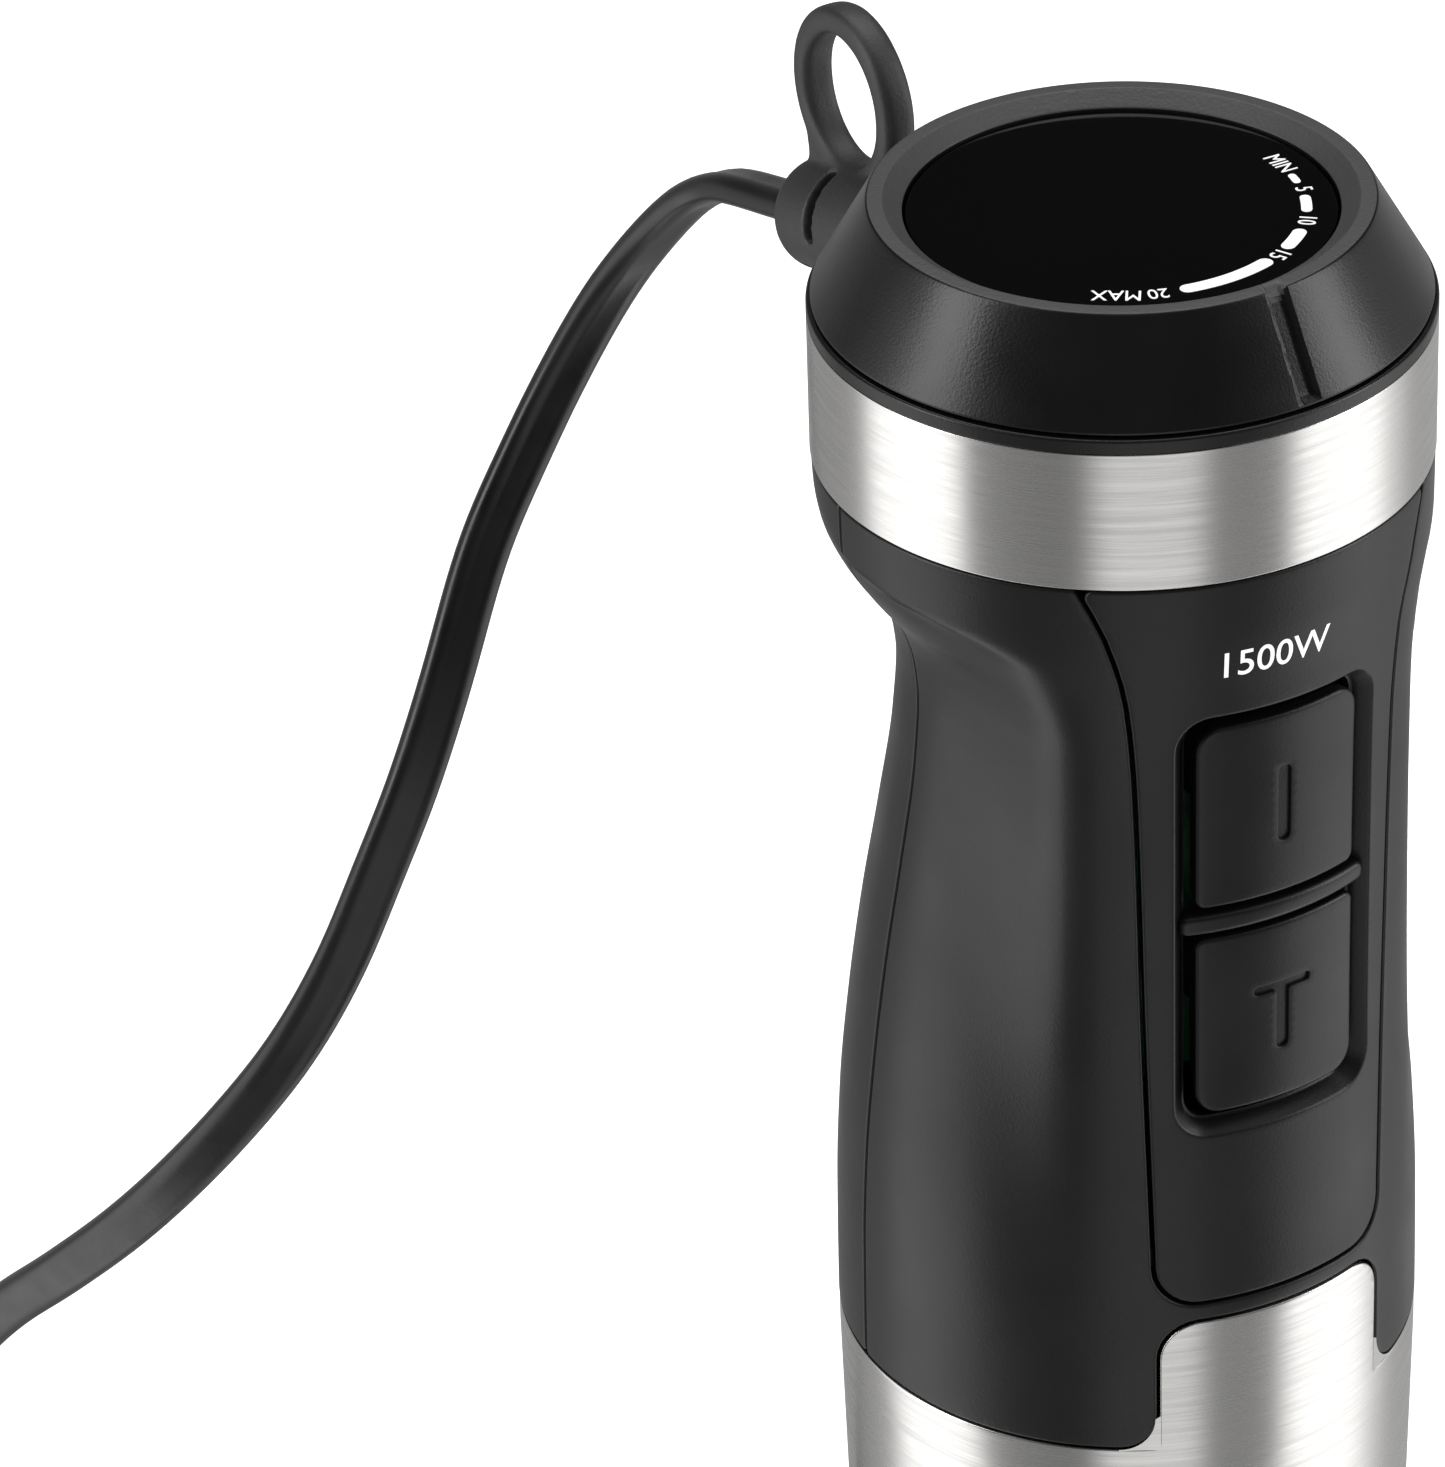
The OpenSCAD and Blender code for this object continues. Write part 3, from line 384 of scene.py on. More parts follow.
@dataclass
class GripSkin(Skin):
    """The hand grip: a round back pinched at the waist, a full front, and a soft ridge between them."""

    back: Knots = field(default_factory=lambda: Knots([
        (26, 32.9), (30, 32.75), (33, 32.3), (36, 31.1), (40, 28.6), (44, 25.8), (48, 24.7), (52, 24.35),
        (60, 24.9), (72, 26.75), (84, 28.8), (96, 30.45), (108, 31.65), (120, 32.2), (136, 32.35)]))
    front: Knots = field(default_factory=lambda: Knots([
        (26, 32.9), (33, 32.85), (42, 32.2), (52, 31.9), (80, 31.8), (110, 32.1), (122, 32.3), (136, 32.35)]))
    ridge: Knots = field(default_factory=lambda: Knots([
        (26, 100.0), (32.5, 96.0), (35, 60.0), (38, 49.0), (43, 45.5), (48, 43.9), (136, 43.5)]))
    soft_deg: float = 3.0

    def radius(self, turn: np.ndarray, depth_down: np.ndarray) -> np.ndarray:
        """Radius of the grip.

        Args:
            turn: Angle round the axis from the front, in radians.
            depth_down: Millimetres below the dial window.

        Returns:
            Radius in mm, with the ridge rounded over a few degrees.
        """
        back, front = self.back(depth_down), self.front(depth_down)
        ridge = np.radians(self.ridge(depth_down))
        lean = np.arccos(np.clip(back / front, 0, 1))
        total = np.zeros(np.broadcast(turn, depth_down).shape)
        for step, weight in zip(range(-3, 4), (1, 6, 15, 20, 15, 6, 1)):
            at = np.abs((turn + math.radians(self.soft_deg) * step + np.pi) % (2 * np.pi) - np.pi)
            side = back / np.cos(np.clip(ridge + lean - at, -1.2, 1.2))
            sharp = np.where(at < ridge, front, np.where(at < ridge + lean, side, back))
            total += weight / 64 * sharp
        return total

    def wrap(self, across: np.ndarray, up: np.ndarray, depth: np.ndarray) -> np.ndarray:
        """Wraps level round the grip; up is the height in mm."""
        turn = across / UNROLL_R
        radius = self.radius(turn, GLASS_Z - up) - depth
        return np.column_stack([radius * np.sin(turn), -radius * np.cos(turn), up])


@dataclass
class TurnedSkin(Skin):
    """A surface of revolution; up is measured along its outline from the lower end."""

    outline: Sequence[Point2]

    def __post_init__(self) -> None:
        """Measures the outline."""
        self.points = np.array(self.outline, float)
        run = np.diff(self.points, axis=0)
        length = np.hypot(*run.T)
        self.at = np.concatenate([[0], np.cumsum(length)])
        normal = np.column_stack([run[:, 1], -run[:, 0]]) / length[:, None]
        node = np.vstack([normal[:1], (normal[1:] + normal[:-1]) / 2, normal[-1:]])
        self.normal = node / np.hypot(*node.T)[:, None]

    def wrap(self, across: np.ndarray, up: np.ndarray, depth: np.ndarray) -> np.ndarray:
        """Wraps round the axis; depth goes in along the outline's normal."""
        turn = across / UNROLL_R
        r, z, nr, nz = (np.interp(up, self.at, column) for column in (*self.points.T, *self.normal.T))
        radius = r - nr * depth
        return np.column_stack([radius * np.sin(turn), -radius * np.cos(turn), z - nz * depth])


# ---------------------------------------------------------------- flat outlines


def spread(points: Sequence[Point2], pitch: float, closed: bool = True) -> np.ndarray:
    """Adds points along an outline.

    Args:
        points: The outline's points.
        pitch: The longest step that is left.
        closed: Whether the last point joins the first.

    Returns:
        The outline's points with the new ones among them.
    """
    line = np.array(points, float)
    ends = np.roll(line, -1, axis=0) if closed else line[1:]
    out = []
    for a, b in zip(line, ends):
        n = max(1, math.ceil(np.hypot(*(b - a)) / pitch))
        out.extend(a + (b - a) * i / n for i in range(n))
    if not closed:
        out.append(line[-1])
    return np.array(out)


def rounded(corners: Sequence[tuple[float, float, float]], steps: int = 7,
            closed: bool = True) -> list[Point2]:
    """Rounds the corners of an outline.

    Args:
        corners: x, y and corner radius of each corner, in order.
        steps: Points in each rounded corner.
        closed: Whether the last corner joins the first; an open line keeps its two ends.

    Returns:
        The outline's points.
    """
    pts = [np.array(c[:2], float) for c in corners]
    out: list[Point2] = []
    for i, corner in enumerate(corners):
        p, radius = pts[i], corner[2]
        if radius <= 0 or (not closed and i in (0, len(corners) - 1)):
            out.append((p[0], p[1]))
            continue
        a, b = pts[i - 1] - p, pts[(i + 1) % len(pts)] - p
        a, b = a / np.hypot(*a), b / np.hypot(*b)
        half = math.acos(max(-1.0, min(1.0, float(a @ b)))) / 2
        if half > math.pi / 2 - 0.02:
            out.append((p[0], p[1]))
            continue
        reach = radius / math.tan(half)
        middle = p + (a + b) / np.hypot(*(a + b)) * radius / math.sin(half)
        start, end = p + a * reach - middle, p + b * reach - middle
        a0, a1 = math.atan2(start[1], start[0]), math.atan2(end[1], end[0])
        sweep = (a1 - a0 + math.pi) % (2 * math.pi) - math.pi
        for k in range(steps + 1):
            angle = a0 + sweep * k / steps
            out.append((middle[0] + radius * math.cos(angle), middle[1] + radius * math.sin(angle)))
    return out


def rounded_box(low: Point2, high: Point2, radii: Sequence[float]) -> list[Point2]:
    """Outline of a box, anticlockwise from its lower left corner.

    Args:
        low: Lower left corner.
        high: Upper right corner.
        radii: Radius of each corner in the same order.

    Returns:
        The outline's points.
    """
    (x0, y0), (x1, y1) = low, high
    return rounded([(x0, y0, radii[0]), (x1, y0, radii[1]), (x1, y1, radii[2]), (x0, y1, radii[3])])


def signed_area(loop: np.ndarray) -> float:
    """Area of a loop, positive when it runs anticlockwise."""
    x, y = loop.T
    return float(np.sum(x * np.roll(y, -1) - np.roll(x, -1) * y) / 2)


def inside_loop(points: np.ndarray, loop: np.ndarray) -> np.ndarray:
    """Tells which points lie inside a closed loop.

    Args:
        points: The points to test.
        loop: The loop's points.

    Returns:
        True for each point inside.
    """
    x, y = points[:, :1], points[:, 1:]
    x0, y0 = loop.T
    x1, y1 = np.roll(loop, -1, axis=0).T
    crosses = (y0 > y) != (y1 > y)
    at = x0 + (y - y0) * (x1 - x0) / np.where(y1 == y0, 1e-12, y1 - y0)
    return (np.sum(crosses & (x < at), axis=1) % 2).astype(bool)


def inward(loop: np.ndarray, seam: float) -> np.ndarray:
    """Direction into the material at each point of a loop that has the material on its left.

    Args:
        loop: The loop's points.
        seam: Half the way round; points there lie on a seam and only move up or down.

    Returns:
        One direction for each point, longer at a corner so that an offset keeps its width.
    """
    before, after = loop - np.roll(loop, 1, axis=0), np.roll(loop, -1, axis=0) - loop
    left = [np.column_stack([-v[:, 1], v[:, 0]]) / np.hypot(*v.T)[:, None] for v in (before, after)]
    total = left[0] + left[1]
    scale = 2 / np.maximum(np.sum(total ** 2, axis=1), 0.5)
    move = total * scale[:, None]
    on_seam = np.abs(np.abs(loop[:, 0]) - seam) < 1e-6
    for i in np.flatnonzero(on_seam):
        level = [v for v in (left[0][i], left[1][i]) if abs(v[1]) > 0.9]
        move[i] = (0.0, np.sign(level[0][1])) if level else (0.0, 0.0)
    return move


@dataclass
class Border:
    """One loop of a relief and the steps that turn its edge down: (inset, depth) from the face inwards."""

    loop: Sequence[Point2]
    steps: Sequence[Point2]
    floor: bool = False


ROUND_EDGE: tuple[Point2, ...] = ((0.42, 0.0), (0.24, 0.035), (0.11, 0.11), (0.03, 0.24), (0.0, 0.42))
CRISP_EDGE: tuple[Point2, ...] = ((0.22, 0.0), (0.08, 0.03), (0.02, 0.09), (0.0, 0.22))


@dataclass
class Relief:
    """A moulded or pressed part laid out flat: an outline with holes, pockets and turned-down edges.

    The face is meshed flat with a level spacing of points, then wrapped on a skin and closed at the back.
    """

    name: str
    skin: Skin
    outer: Border
    holes: Sequence[Border] = ()
    thickness: float = 2.0
    pitch: float = 0.9
    seam: float = 1e9
    crown: Callable[[np.ndarray, np.ndarray], np.ndarray] | None = None

    def build(self, finish: Finish) -> bpy.types.Object:
        """Makes the closed mesh.

        Args:
            finish: The material of the part.

        Returns:
            The new object, in place.
        """
        borders = [self.outer, *self.holes]
        loops = []
        for i, border in enumerate(borders):
            loop = spread(border.loop, self.pitch * 0.8)
            if (signed_area(loop) > 0) != (i == 0):
                loop = loop[::-1]
            loops.append(loop)
        moves = [inward(loop, self.seam) for loop in loops]
        rims = [loop + move * border.steps[0][0] for loop, move, border in zip(loops, moves, borders)]
        points, triangles = self._mesh_face(rims)
        flat = [np.column_stack([points, np.zeros(len(points))])]
        faces: list[tuple[int, ...]] = [tuple(t) for t in triangles]
        count, start = len(points), 0
        back_of = {}
        for loop, move, border, rim in zip(loops, moves, borders, rims):
            size = len(loop)
            previous = np.arange(start, start + size)
            rim_ids = previous
            start += size
            steps = list(border.steps[1:])
            if not border.floor:
                steps.append((border.steps[-1][0], self.thickness))
            for inset, depth in steps:
                ring = loop + move * inset
                flat.append(np.column_stack([ring, np.full(size, depth)]))
                ids = np.arange(count, count + size)
                count += size
                faces.extend(self._walls(previous, ids, loop))
                previous = ids
            if border.floor:
                inner = loop + move * border.steps[-1][0]
                floor_points, floor_faces = self._mesh_face([inner[::-1]])
                depth = border.steps[-1][1]
                extra = floor_points[size:]
                flat.append(np.column_stack([extra, np.full(len(extra), depth)]))
                index = np.concatenate([previous[::-1], np.arange(count, count + len(extra))])
                count += len(extra)
                faces.extend(tuple(int(index[i]) for i in f) for f in floor_faces)
                flat.append(np.column_stack([rim, np.full(size, self.thickness)]))
                back_ids = np.arange(count, count + size)
                count += size
            else:
                back_ids = previous
            back_of.update(zip(rim_ids.tolist(), back_ids.tolist()))
        inner_count = len(points) - start
        flat.append(np.column_stack([points[start:], np.full(inner_count, self.thickness)]))
        back_of.update(zip(range(start, len(points)), range(count, count + inner_count)))
        faces.extend(tuple(back_of[i] for i in reversed(t)) for t in triangles)
        flat_all = np.vstack(flat)
        if any(b.floor for b in borders):
            faces.extend(self._pocket_backs(borders, rims, back_of))
        depth = flat_all[:, 2]
        if self.crown is not None:
            depth = depth - self.crown(flat_all[:, 0], flat_all[:, 1]) * (1 - depth / self.thickness)
        placed = self.skin.wrap(flat_all[:, 0], flat_all[:, 1], depth)
        return make_mesh(self.name, placed, faces, finish, merge=self.seam < 1e8)

    def _pocket_backs(self, borders: Sequence[Border], rims: Sequence[np.ndarray],
                      back_of: dict[int, int]) -> list[tuple[int, ...]]:
        """Closes the back behind each pocket.

        Args:
            borders: All the borders of the relief.
            rims: Their rims on the face.
            back_of: Point of the back that lies behind each point of the face.

        Returns:
            One face for each pocket.
        """
        faces, start = [], 0
        for border, rim in zip(borders, rims):
            if border.floor:
                faces.append(tuple(back_of[i] for i in range(start, start + len(rim))))
            start += len(rim)
        return faces

    def _walls(self, upper: np.ndarray, lower: np.ndarray, loop: np.ndarray) -> list[tuple[int, ...]]:
        """Makes the quads between two rings, but none along the seam.

        Args:
            upper: Point numbers of the upper ring.
            lower: Point numbers of the lower ring.
            loop: The flat loop that both rings follow.

        Returns:
            The faces.
        """
        out = []
        for i in range(len(upper)):
            j = (i + 1) % len(upper)
            if abs(abs(loop[i, 0]) - self.seam) < 1e-6 and abs(abs(loop[j, 0]) - self.seam) < 1e-6:
                continue
            out.append((int(upper[i]), int(lower[i]), int(lower[j]), int(upper[j])))
        return out

    def _mesh_face(self, rims: Sequence[np.ndarray]) -> tuple[np.ndarray, list[tuple[int, ...]]]:
        """Triangulates the flat face inside the rims with evenly spaced points.

        Args:
            rims: Loops of the face, the outer one first.

        Returns:
            Points with the rims' own first, and the triangles.
        """
        border = np.vstack(rims)
        low, high = border.min(0), border.max(0)
        columns = max(2, int((high[0] - low[0]) / self.pitch))
        rows = max(2, int((high[1] - low[1]) / (self.pitch * 0.87)))
        gx = low[0] + (np.arange(columns) + 0.5) * (high[0] - low[0]) / columns
        gy = low[1] + (np.arange(rows) + 0.5) * (high[1] - low[1]) / rows
        grid = np.stack(np.meshgrid(gx, gy), -1)
        grid[::2, :, 0] += (high[0] - low[0]) / columns * 0.5
        grid = grid.reshape(-1, 2)
        grid = grid[grid[:, 0] < high[0]]
        near = np.ones(len(grid), bool)
        for chunk in np.array_split(np.arange(len(grid)), max(1, len(grid) // 4000)):
            gap = np.abs(grid[chunk][:, None, :] - border[None]).max(2).min(1)
            near[chunk] = gap > self.pitch * 0.5
        grid = grid[near]
        edges, start = [], 0
        for rim in rims:
            size = len(rim)
            edges.extend((start + i, start + (i + 1) % size) for i in range(size))
            start += size
        everything = np.vstack([border, grid])
        result = delaunay_2d_cdt([Vector(p) for p in everything], edges, [], 2, 1e-9)
        crossed = [tuple(p) for p, ids in zip(result[0], result[3]) if not ids]
        if crossed:
            raise ValueError(f"{self.name}: the border crosses itself near {crossed[:3]}")
        source = [ids[0] for ids in result[3]]
        triangles = []
        for face in result[2]:
            ids = [source[i] for i in face]
            triangles.extend((ids[0], ids[k], ids[k + 1]) for k in range(1, len(ids) - 1))
        centres = everything[np.array(triangles)].mean(1)
        open_part = np.zeros(len(triangles), bool)
        for rim in rims[1:]:
            open_part |= inside_loop(centres, rim)
        triangles = [t for t, gone in zip(triangles, open_part) if not gone]
        used = sorted({i for t in triangles for i in t if i >= len(border)})
        renumber = {old: len(border) + new for new, old in enumerate(used)}
        triangles = [tuple(renumber.get(i, i) for i in t) for t in triangles]
        return np.vstack([border, everything[used]]) if used else border, triangles


# ---------------------------------------------------------------- meshes


def make_mesh(name: str, points: np.ndarray, faces: Sequence[Sequence[int]], finish: Finish,
              merge: bool = False, smooth_deg: float = 45.0) -> bpy.types.Object:
    """Makes an object from points in millimetres.

    Args:
        name: Name of the piece.
        points: Points in mm, in the frame of the blender.
        faces: Faces as lists of point numbers.
        finish: The material.
        merge: Whether points that coincide are joined, as along a seam.
        smooth_deg: Edges sharper than this stay sharp.

    Returns:
        The object, linked to the scene.
    """
    mesh = bpy.data.meshes.new(name)
    mesh.from_pydata((np.asarray(points, float) * MM).tolist(), [], [list(f) for f in faces])
    if merge:
        bm = bmesh.new()
        bm.from_mesh(mesh)
        bmesh.ops.remove_doubles(bm, verts=bm.verts, dist=2e-6)
        bm.to_mesh(mesh)
        bm.free()
    mesh.validate()
    mesh.shade_smooth()
    mesh.set_sharp_from_angle(angle=math.radians(smooth_deg))
    mesh.materials.append(finish.material())
    piece = bpy.data.objects.new(name, mesh)
    bpy.context.scene.collection.objects.link(piece)
    return piece


def band_faces(rings: Sequence[np.ndarray], closed: bool = False) -> list[list[int]]:
    """Makes the faces between rings of points, with triangles where a ring is one point.

    Args:
        rings: Point numbers of each ring, all of one length.
        closed: Whether the last ring joins the first.

    Returns:
        The faces.
    """
    faces = []
    segments = len(rings[0])
    for a, b in zip(rings, [*rings[1:], rings[0]] if closed else rings[1:]):
        for i in range(segments):
            j = (i + 1) % segments
            face = list(dict.fromkeys([int(a[i]), int(a[j]), int(b[j]), int(b[i])]))
            if len(face) > 2:
                faces.append(face)
    return faces


def stood(points: np.ndarray, place: Matrix) -> np.ndarray:
    """Turns and moves points."""
    return points @ np.array(place.to_3x3()).T + np.array(place.translation)


def turned(name: str, outline: Sequence[Point2], finish: Finish, segments: int = 192,
           place: Matrix | None = None, smooth_deg: float = 40.0) -> bpy.types.Object:
    """Turns a closed outline round an axis.

    Args:
        name: Name of the piece.
        outline: Radius and height of each point, running anticlockwise round the material.
        finish: The material.
        segments: Steps round the axis.
        place: Turns and moves the piece from the Z axis to its place, in mm.
        smooth_deg: Edges sharper than this stay sharp.

    Returns:
        The new object.
    """
    turns = np.linspace(0, 2 * np.pi, segments, endpoint=False)
    points: list[np.ndarray] = []
    rings: list[np.ndarray] = []
    for radius, height in outline:
        base = len(points)
        if radius < 1e-6:
            points.append(np.array([0, 0, height]))
            rings.append(np.full(segments, base))
        else:
            points.extend(np.column_stack([radius * np.sin(turns), -radius * np.cos(turns),
                                           np.full(segments, height)]))
            rings.append(np.arange(base, base + segments))
    array = np.array(points)
    if place is not None:
        array = stood(array, place)
    return make_mesh(name, array, band_faces(rings, closed=True), finish, smooth_deg=smooth_deg)


def settle(piece: bpy.types.Object) -> bpy.types.Object:
    """Turns a piece and its modifiers into one plain mesh."""
    bpy.context.view_layer.update()
    evaluated = piece.evaluated_get(bpy.context.evaluated_depsgraph_get())
    mesh = bpy.data.meshes.new_from_object(evaluated)
    mesh.name = piece.name
    piece.modifiers.clear()
    piece.data = mesh
    return piece


def soften_normals(piece: bpy.types.Object) -> bpy.types.Object:
    """Weights the normals by face area, so that broad faces stay flat up to their rounded edges."""
    weigh = piece.modifiers.new("weigh_normals", "WEIGHTED_NORMAL")
    weigh.keep_sharp = True
    return settle(piece)


def hand_over(piece: bpy.types.Object, body: str, slot: Slot,
              replaces: Iterable[str] = ()) -> bpy.types.Object:
    """Puts a finished piece on its body and hides the CAD nodes that it stands for.

    Args:
        piece: The piece, in place.
        body: The body that it rides on.
        slot: Its material slot; not used.
        replaces: CAD nodes that it stands for.

    Returns:
        The same piece.
    """
    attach(piece, body)
    names = tuple(replaces)
    if names:
        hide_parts(*names)
    log.info("%s: %d faces on %s", piece.name, len(piece.data.polygons), body)
    return piece


def lettering(text: str, height: float, bold: float = 0.0) -> tuple[np.ndarray, list[list[int]]]:
    """Makes a flat word with a little thickness.

    Args:
        text: Numerals or a plain word.
        height: Height of the capitals, in mm.
        bold: How much the strokes are thickened, in mm.

    Returns:
        Points in mm, centred on the word with x along it and z from 0 to 0.04, and the faces.
    """
    curve = bpy.data.curves.new("word", "FONT")
    curve.body = text
    curve.size = 1.0
    curve.offset = bold / height * 0.7
    curve.extrude = 0.01
    curve.resolution_u = 6
    carrier = bpy.data.objects.new("word", curve)
    bpy.context.scene.collection.objects.link(carrier)
    bpy.context.view_layer.update()
    mesh = bpy.data.meshes.new_from_object(carrier.evaluated_get(bpy.context.evaluated_depsgraph_get()))
    points = np.array([v.co for v in mesh.vertices])
    faces = [list(p.vertices) for p in mesh.polygons]
    bpy.data.objects.remove(carrier)
    bpy.data.curves.remove(curve)
    bpy.data.meshes.remove(mesh)
    low, high = points.min(0), points.max(0)
    scale = height / (high[1] - low[1])
    points = (points - (low + high) / 2) * scale
    points[:, 2] = np.where(points[:, 2] > 0, 0.04, 0.0)
    return points, faces


def slab(outline: np.ndarray, z0: float, z1: float) -> tuple[np.ndarray, list[list[int]]]:
    """Makes a flat plate.

    Args:
        outline: Its outline, anticlockwise.
        z0: Height of its underside.
        z1: Height of its upper side.

    Returns:
        Its points and faces.
    """
    n = len(outline)
    points = np.vstack([np.column_stack([outline, np.full(n, z)]) for z in (z0, z1)])
    faces = [list(range(n - 1, -1, -1)), list(range(n, 2 * n))]
    faces += [[i, (i + 1) % n, n + (i + 1) % n, n + i] for i in range(n)]
    return points, faces


def join_parts(parts: Iterable[tuple[np.ndarray, list[list[int]]]]) -> tuple[np.ndarray, list[list[int]]]:
    """Puts several sets of points and faces into one."""
    points, faces, count = [], [], 0
    for some_points, some_faces in parts:
        points.append(some_points)
        faces.extend([i + count for i in face] for face in some_faces)
        count += len(some_points)
    return np.vstack(points), faces


# ---------------------------------------------------------------- repeated pieces by geometry nodes


class NodeTreeKit:
    """Helps to build one geometry node tree with named inputs."""

    def __init__(self, name: str) -> None:
        """Starts an empty tree with a geometry input and output."""
        self.tree = bpy.data.node_groups.new(name, "GeometryNodeTree")
        self.tree.interface.new_socket("Geometry", in_out="INPUT", socket_type="NodeSocketGeometry")
        self.tree.interface.new_socket("Geometry", in_out="OUTPUT", socket_type="NodeSocketGeometry")
        self.source = self.tree.nodes.new("NodeGroupInput")
        self.identifiers: dict[str, str] = {}

    def number(self, name: str, default: float, whole: bool = False) -> bpy.types.NodeSocket:
        """Adds a named input and returns the socket that feeds from it."""
        kind = "NodeSocketInt" if whole else "NodeSocketFloat"
        item = self.tree.interface.new_socket(name, in_out="INPUT", socket_type=kind)
        item.default_value = default
        self.identifiers[name] = item.identifier
        return self.source.outputs[name]

    def add(self, kind: str, inputs: dict | None = None, **settings) -> bpy.types.Node:
        """Adds a node to this tree."""
        return add_node(self.tree, kind, inputs, **settings)

    def close(self, geometry: bpy.types.NodeSocket, finish: Finish) -> None:
        """Ends the tree with Realize Instances and Set Material."""
        real = self.add("GeometryNodeRealizeInstances", {"Geometry": geometry})
        dressed = self.add("GeometryNodeSetMaterial", {"Geometry": real.outputs[0],
                                                       "Material": finish.material()})
        self.add("NodeGroupOutput", {"Geometry": dressed.outputs[0]})

    def run(self, name: str, points: np.ndarray, values: dict[str, float]) -> bpy.types.Object:
        """Runs the tree on a set of points and returns a plain mesh object.

        Args:
            name: Name of the piece.
            points: Points in mm that the tree starts from.
            values: Input name to value.

        Returns:
            The piece, with its modifier already taken off.
        """
        mesh = bpy.data.meshes.new(name)
        mesh.from_pydata((points * MM).tolist(), [], [])
        piece = bpy.data.objects.new(name, mesh)
        bpy.context.scene.collection.objects.link(piece)
        modifier = piece.modifiers.new("build", "NODES")
        modifier.node_group = self.tree
        for key, value in values.items():
            modifier[self.identifiers[key]] = value
        settle(piece)
        piece.data.shade_smooth()
        piece.data.set_sharp_from_angle(angle=math.radians(35))
        return piece


def screw_heads(name: str, spots: np.ndarray, radius_mm: float) -> bpy.types.Object:
    """Pan-head screws with a cross recess, sunk along +Y, one at each spot.

    Args:
        name: Name of the piece.
        spots: Centre of each head's outer face, in mm.
        radius_mm: Radius of a head.

    Returns:
        All the heads as one mesh.
    """
    kit = NodeTreeKit(name + "_nodes")
    radius = kit.number("Head radius", radius_mm * MM)
    depth = kit.number("Head height", 1.6 * MM)
    slot = kit.number("Slot width", 0.7 * MM)
    head = kit.add("GeometryNodeMeshCylinder", {"Vertices": 40, "Radius": radius, "Depth": depth})
    long = kit.add("ShaderNodeMath", {0: radius, 1: 1.3}, operation="MULTIPLY")
    sizes = [kit.add("ShaderNodeCombineXYZ", {"X": a, "Y": b, "Z": depth})
             for a, b in ((long.outputs[0], slot), (slot, long.outputs[0]))]
    bars = [kit.add("GeometryNodeMeshCube", {"Size": size.outputs[0]}) for size in sizes]
    up = kit.add("ShaderNodeMath", {0: depth, 1: 0.55}, operation="MULTIPLY")
    lift = kit.add("ShaderNodeCombineXYZ", {"Z": up.outputs[0]})
    cross = [kit.add("GeometryNodeTransform", {"Geometry": bar.outputs["Mesh"],
                                               "Translation": lift.outputs[0]})
             for bar in bars]
    cut = kit.add("GeometryNodeMeshBoolean", {"Mesh 1": head.outputs["Mesh"]}, operation="DIFFERENCE")
    for part in cross:
        kit.tree.links.new(part.outputs[0], cut.inputs["Mesh 2"])
    spread_out = kit.add("GeometryNodeInstanceOnPoints", {"Points": kit.source.outputs["Geometry"],
                                                          "Instance": cut.outputs[0],
                                                          "Rotation": (-math.pi / 2, 0.0, 0.35)})
    kit.close(spread_out.outputs[0], MACHINED_STEEL)
    return kit.run(name, spots, {"Head radius": radius_mm * MM, "Slot width": 0.26 * radius_mm * MM})


def grip_ribs(name: str, spots: np.ndarray, length_mm: float, finish: Finish) -> bpy.types.Object:
    """Small rounded ribs lying along Y that fingers catch on.

    Args:
        name: Name of the piece.
        spots: Centre of each rib, in mm.
        length_mm: Length of a rib.
        finish: Its material.

    Returns:
        All the ribs as one mesh.
    """
    kit = NodeTreeKit(name + "_nodes")
    length = kit.number("Rib length", length_mm * MM)
    width = kit.number("Rib radius", 0.45 * MM)
    half = kit.add("ShaderNodeMath", {0: length, 1: 0.5}, operation="MULTIPLY")
    less = kit.add("ShaderNodeMath", {0: half.outputs[0], 1: -1.0}, operation="MULTIPLY")
    ends = [kit.add("ShaderNodeCombineXYZ", {"Y": socket}) for socket in (less.outputs[0], half.outputs[0])]
    line = kit.add("GeometryNodeCurvePrimitiveLine", {"Start": ends[0].outputs[0], "End": ends[1].outputs[0]})
    more = kit.add("GeometryNodeResampleCurve", {"Curve": line.outputs[0], "Count": 13})
    spot = kit.add("GeometryNodeSplineParameter")
    centred = kit.add("ShaderNodeMath", {0: spot.outputs["Factor"], 1: 2.0, 2: -1.0},
                      operation="MULTIPLY_ADD")
    square = kit.add("ShaderNodeMath", {0: centred.outputs[0], 1: 8.0}, operation="POWER")
    taper = kit.add("ShaderNodeMath", {0: 1.0, 1: square.outputs[0]}, operation="SUBTRACT")
    small = kit.add("ShaderNodeMath", {0: taper.outputs[0], 1: 0.12}, operation="MAXIMUM")
    sized = kit.add("GeometryNodeSetCurveRadius", {"Curve": more.outputs[0], "Radius": small.outputs[0]})
    circle = kit.add("GeometryNodeCurvePrimitiveCircle", {"Resolution": 12, "Radius": width})
    rib = kit.add("GeometryNodeCurveToMesh", {"Curve": sized.outputs[0],
                                              "Profile Curve": circle.outputs[0], "Fill Caps": True})
    if "Scale" in rib.inputs:
        kit.tree.links.new(small.outputs[0], rib.inputs["Scale"])
    all_ribs = kit.add("GeometryNodeInstanceOnPoints", {"Points": kit.source.outputs["Geometry"],
                                                        "Instance": rib.outputs[0]})
    kit.close(all_ribs.outputs[0], finish)
    return kit.run(name, spots, {"Rib length": length_mm * MM})


# ---------------------------------------------------------------- the blender's sub-assemblies


@dataclass
class Key:
    """One push button, named as the body it rides on: its place on the panel and its engraved mark."""

    name: str
    stands_for: str
    top: float
    low: float
    corners: tuple[float, float, float, float]
    mark: Sequence[Point2]


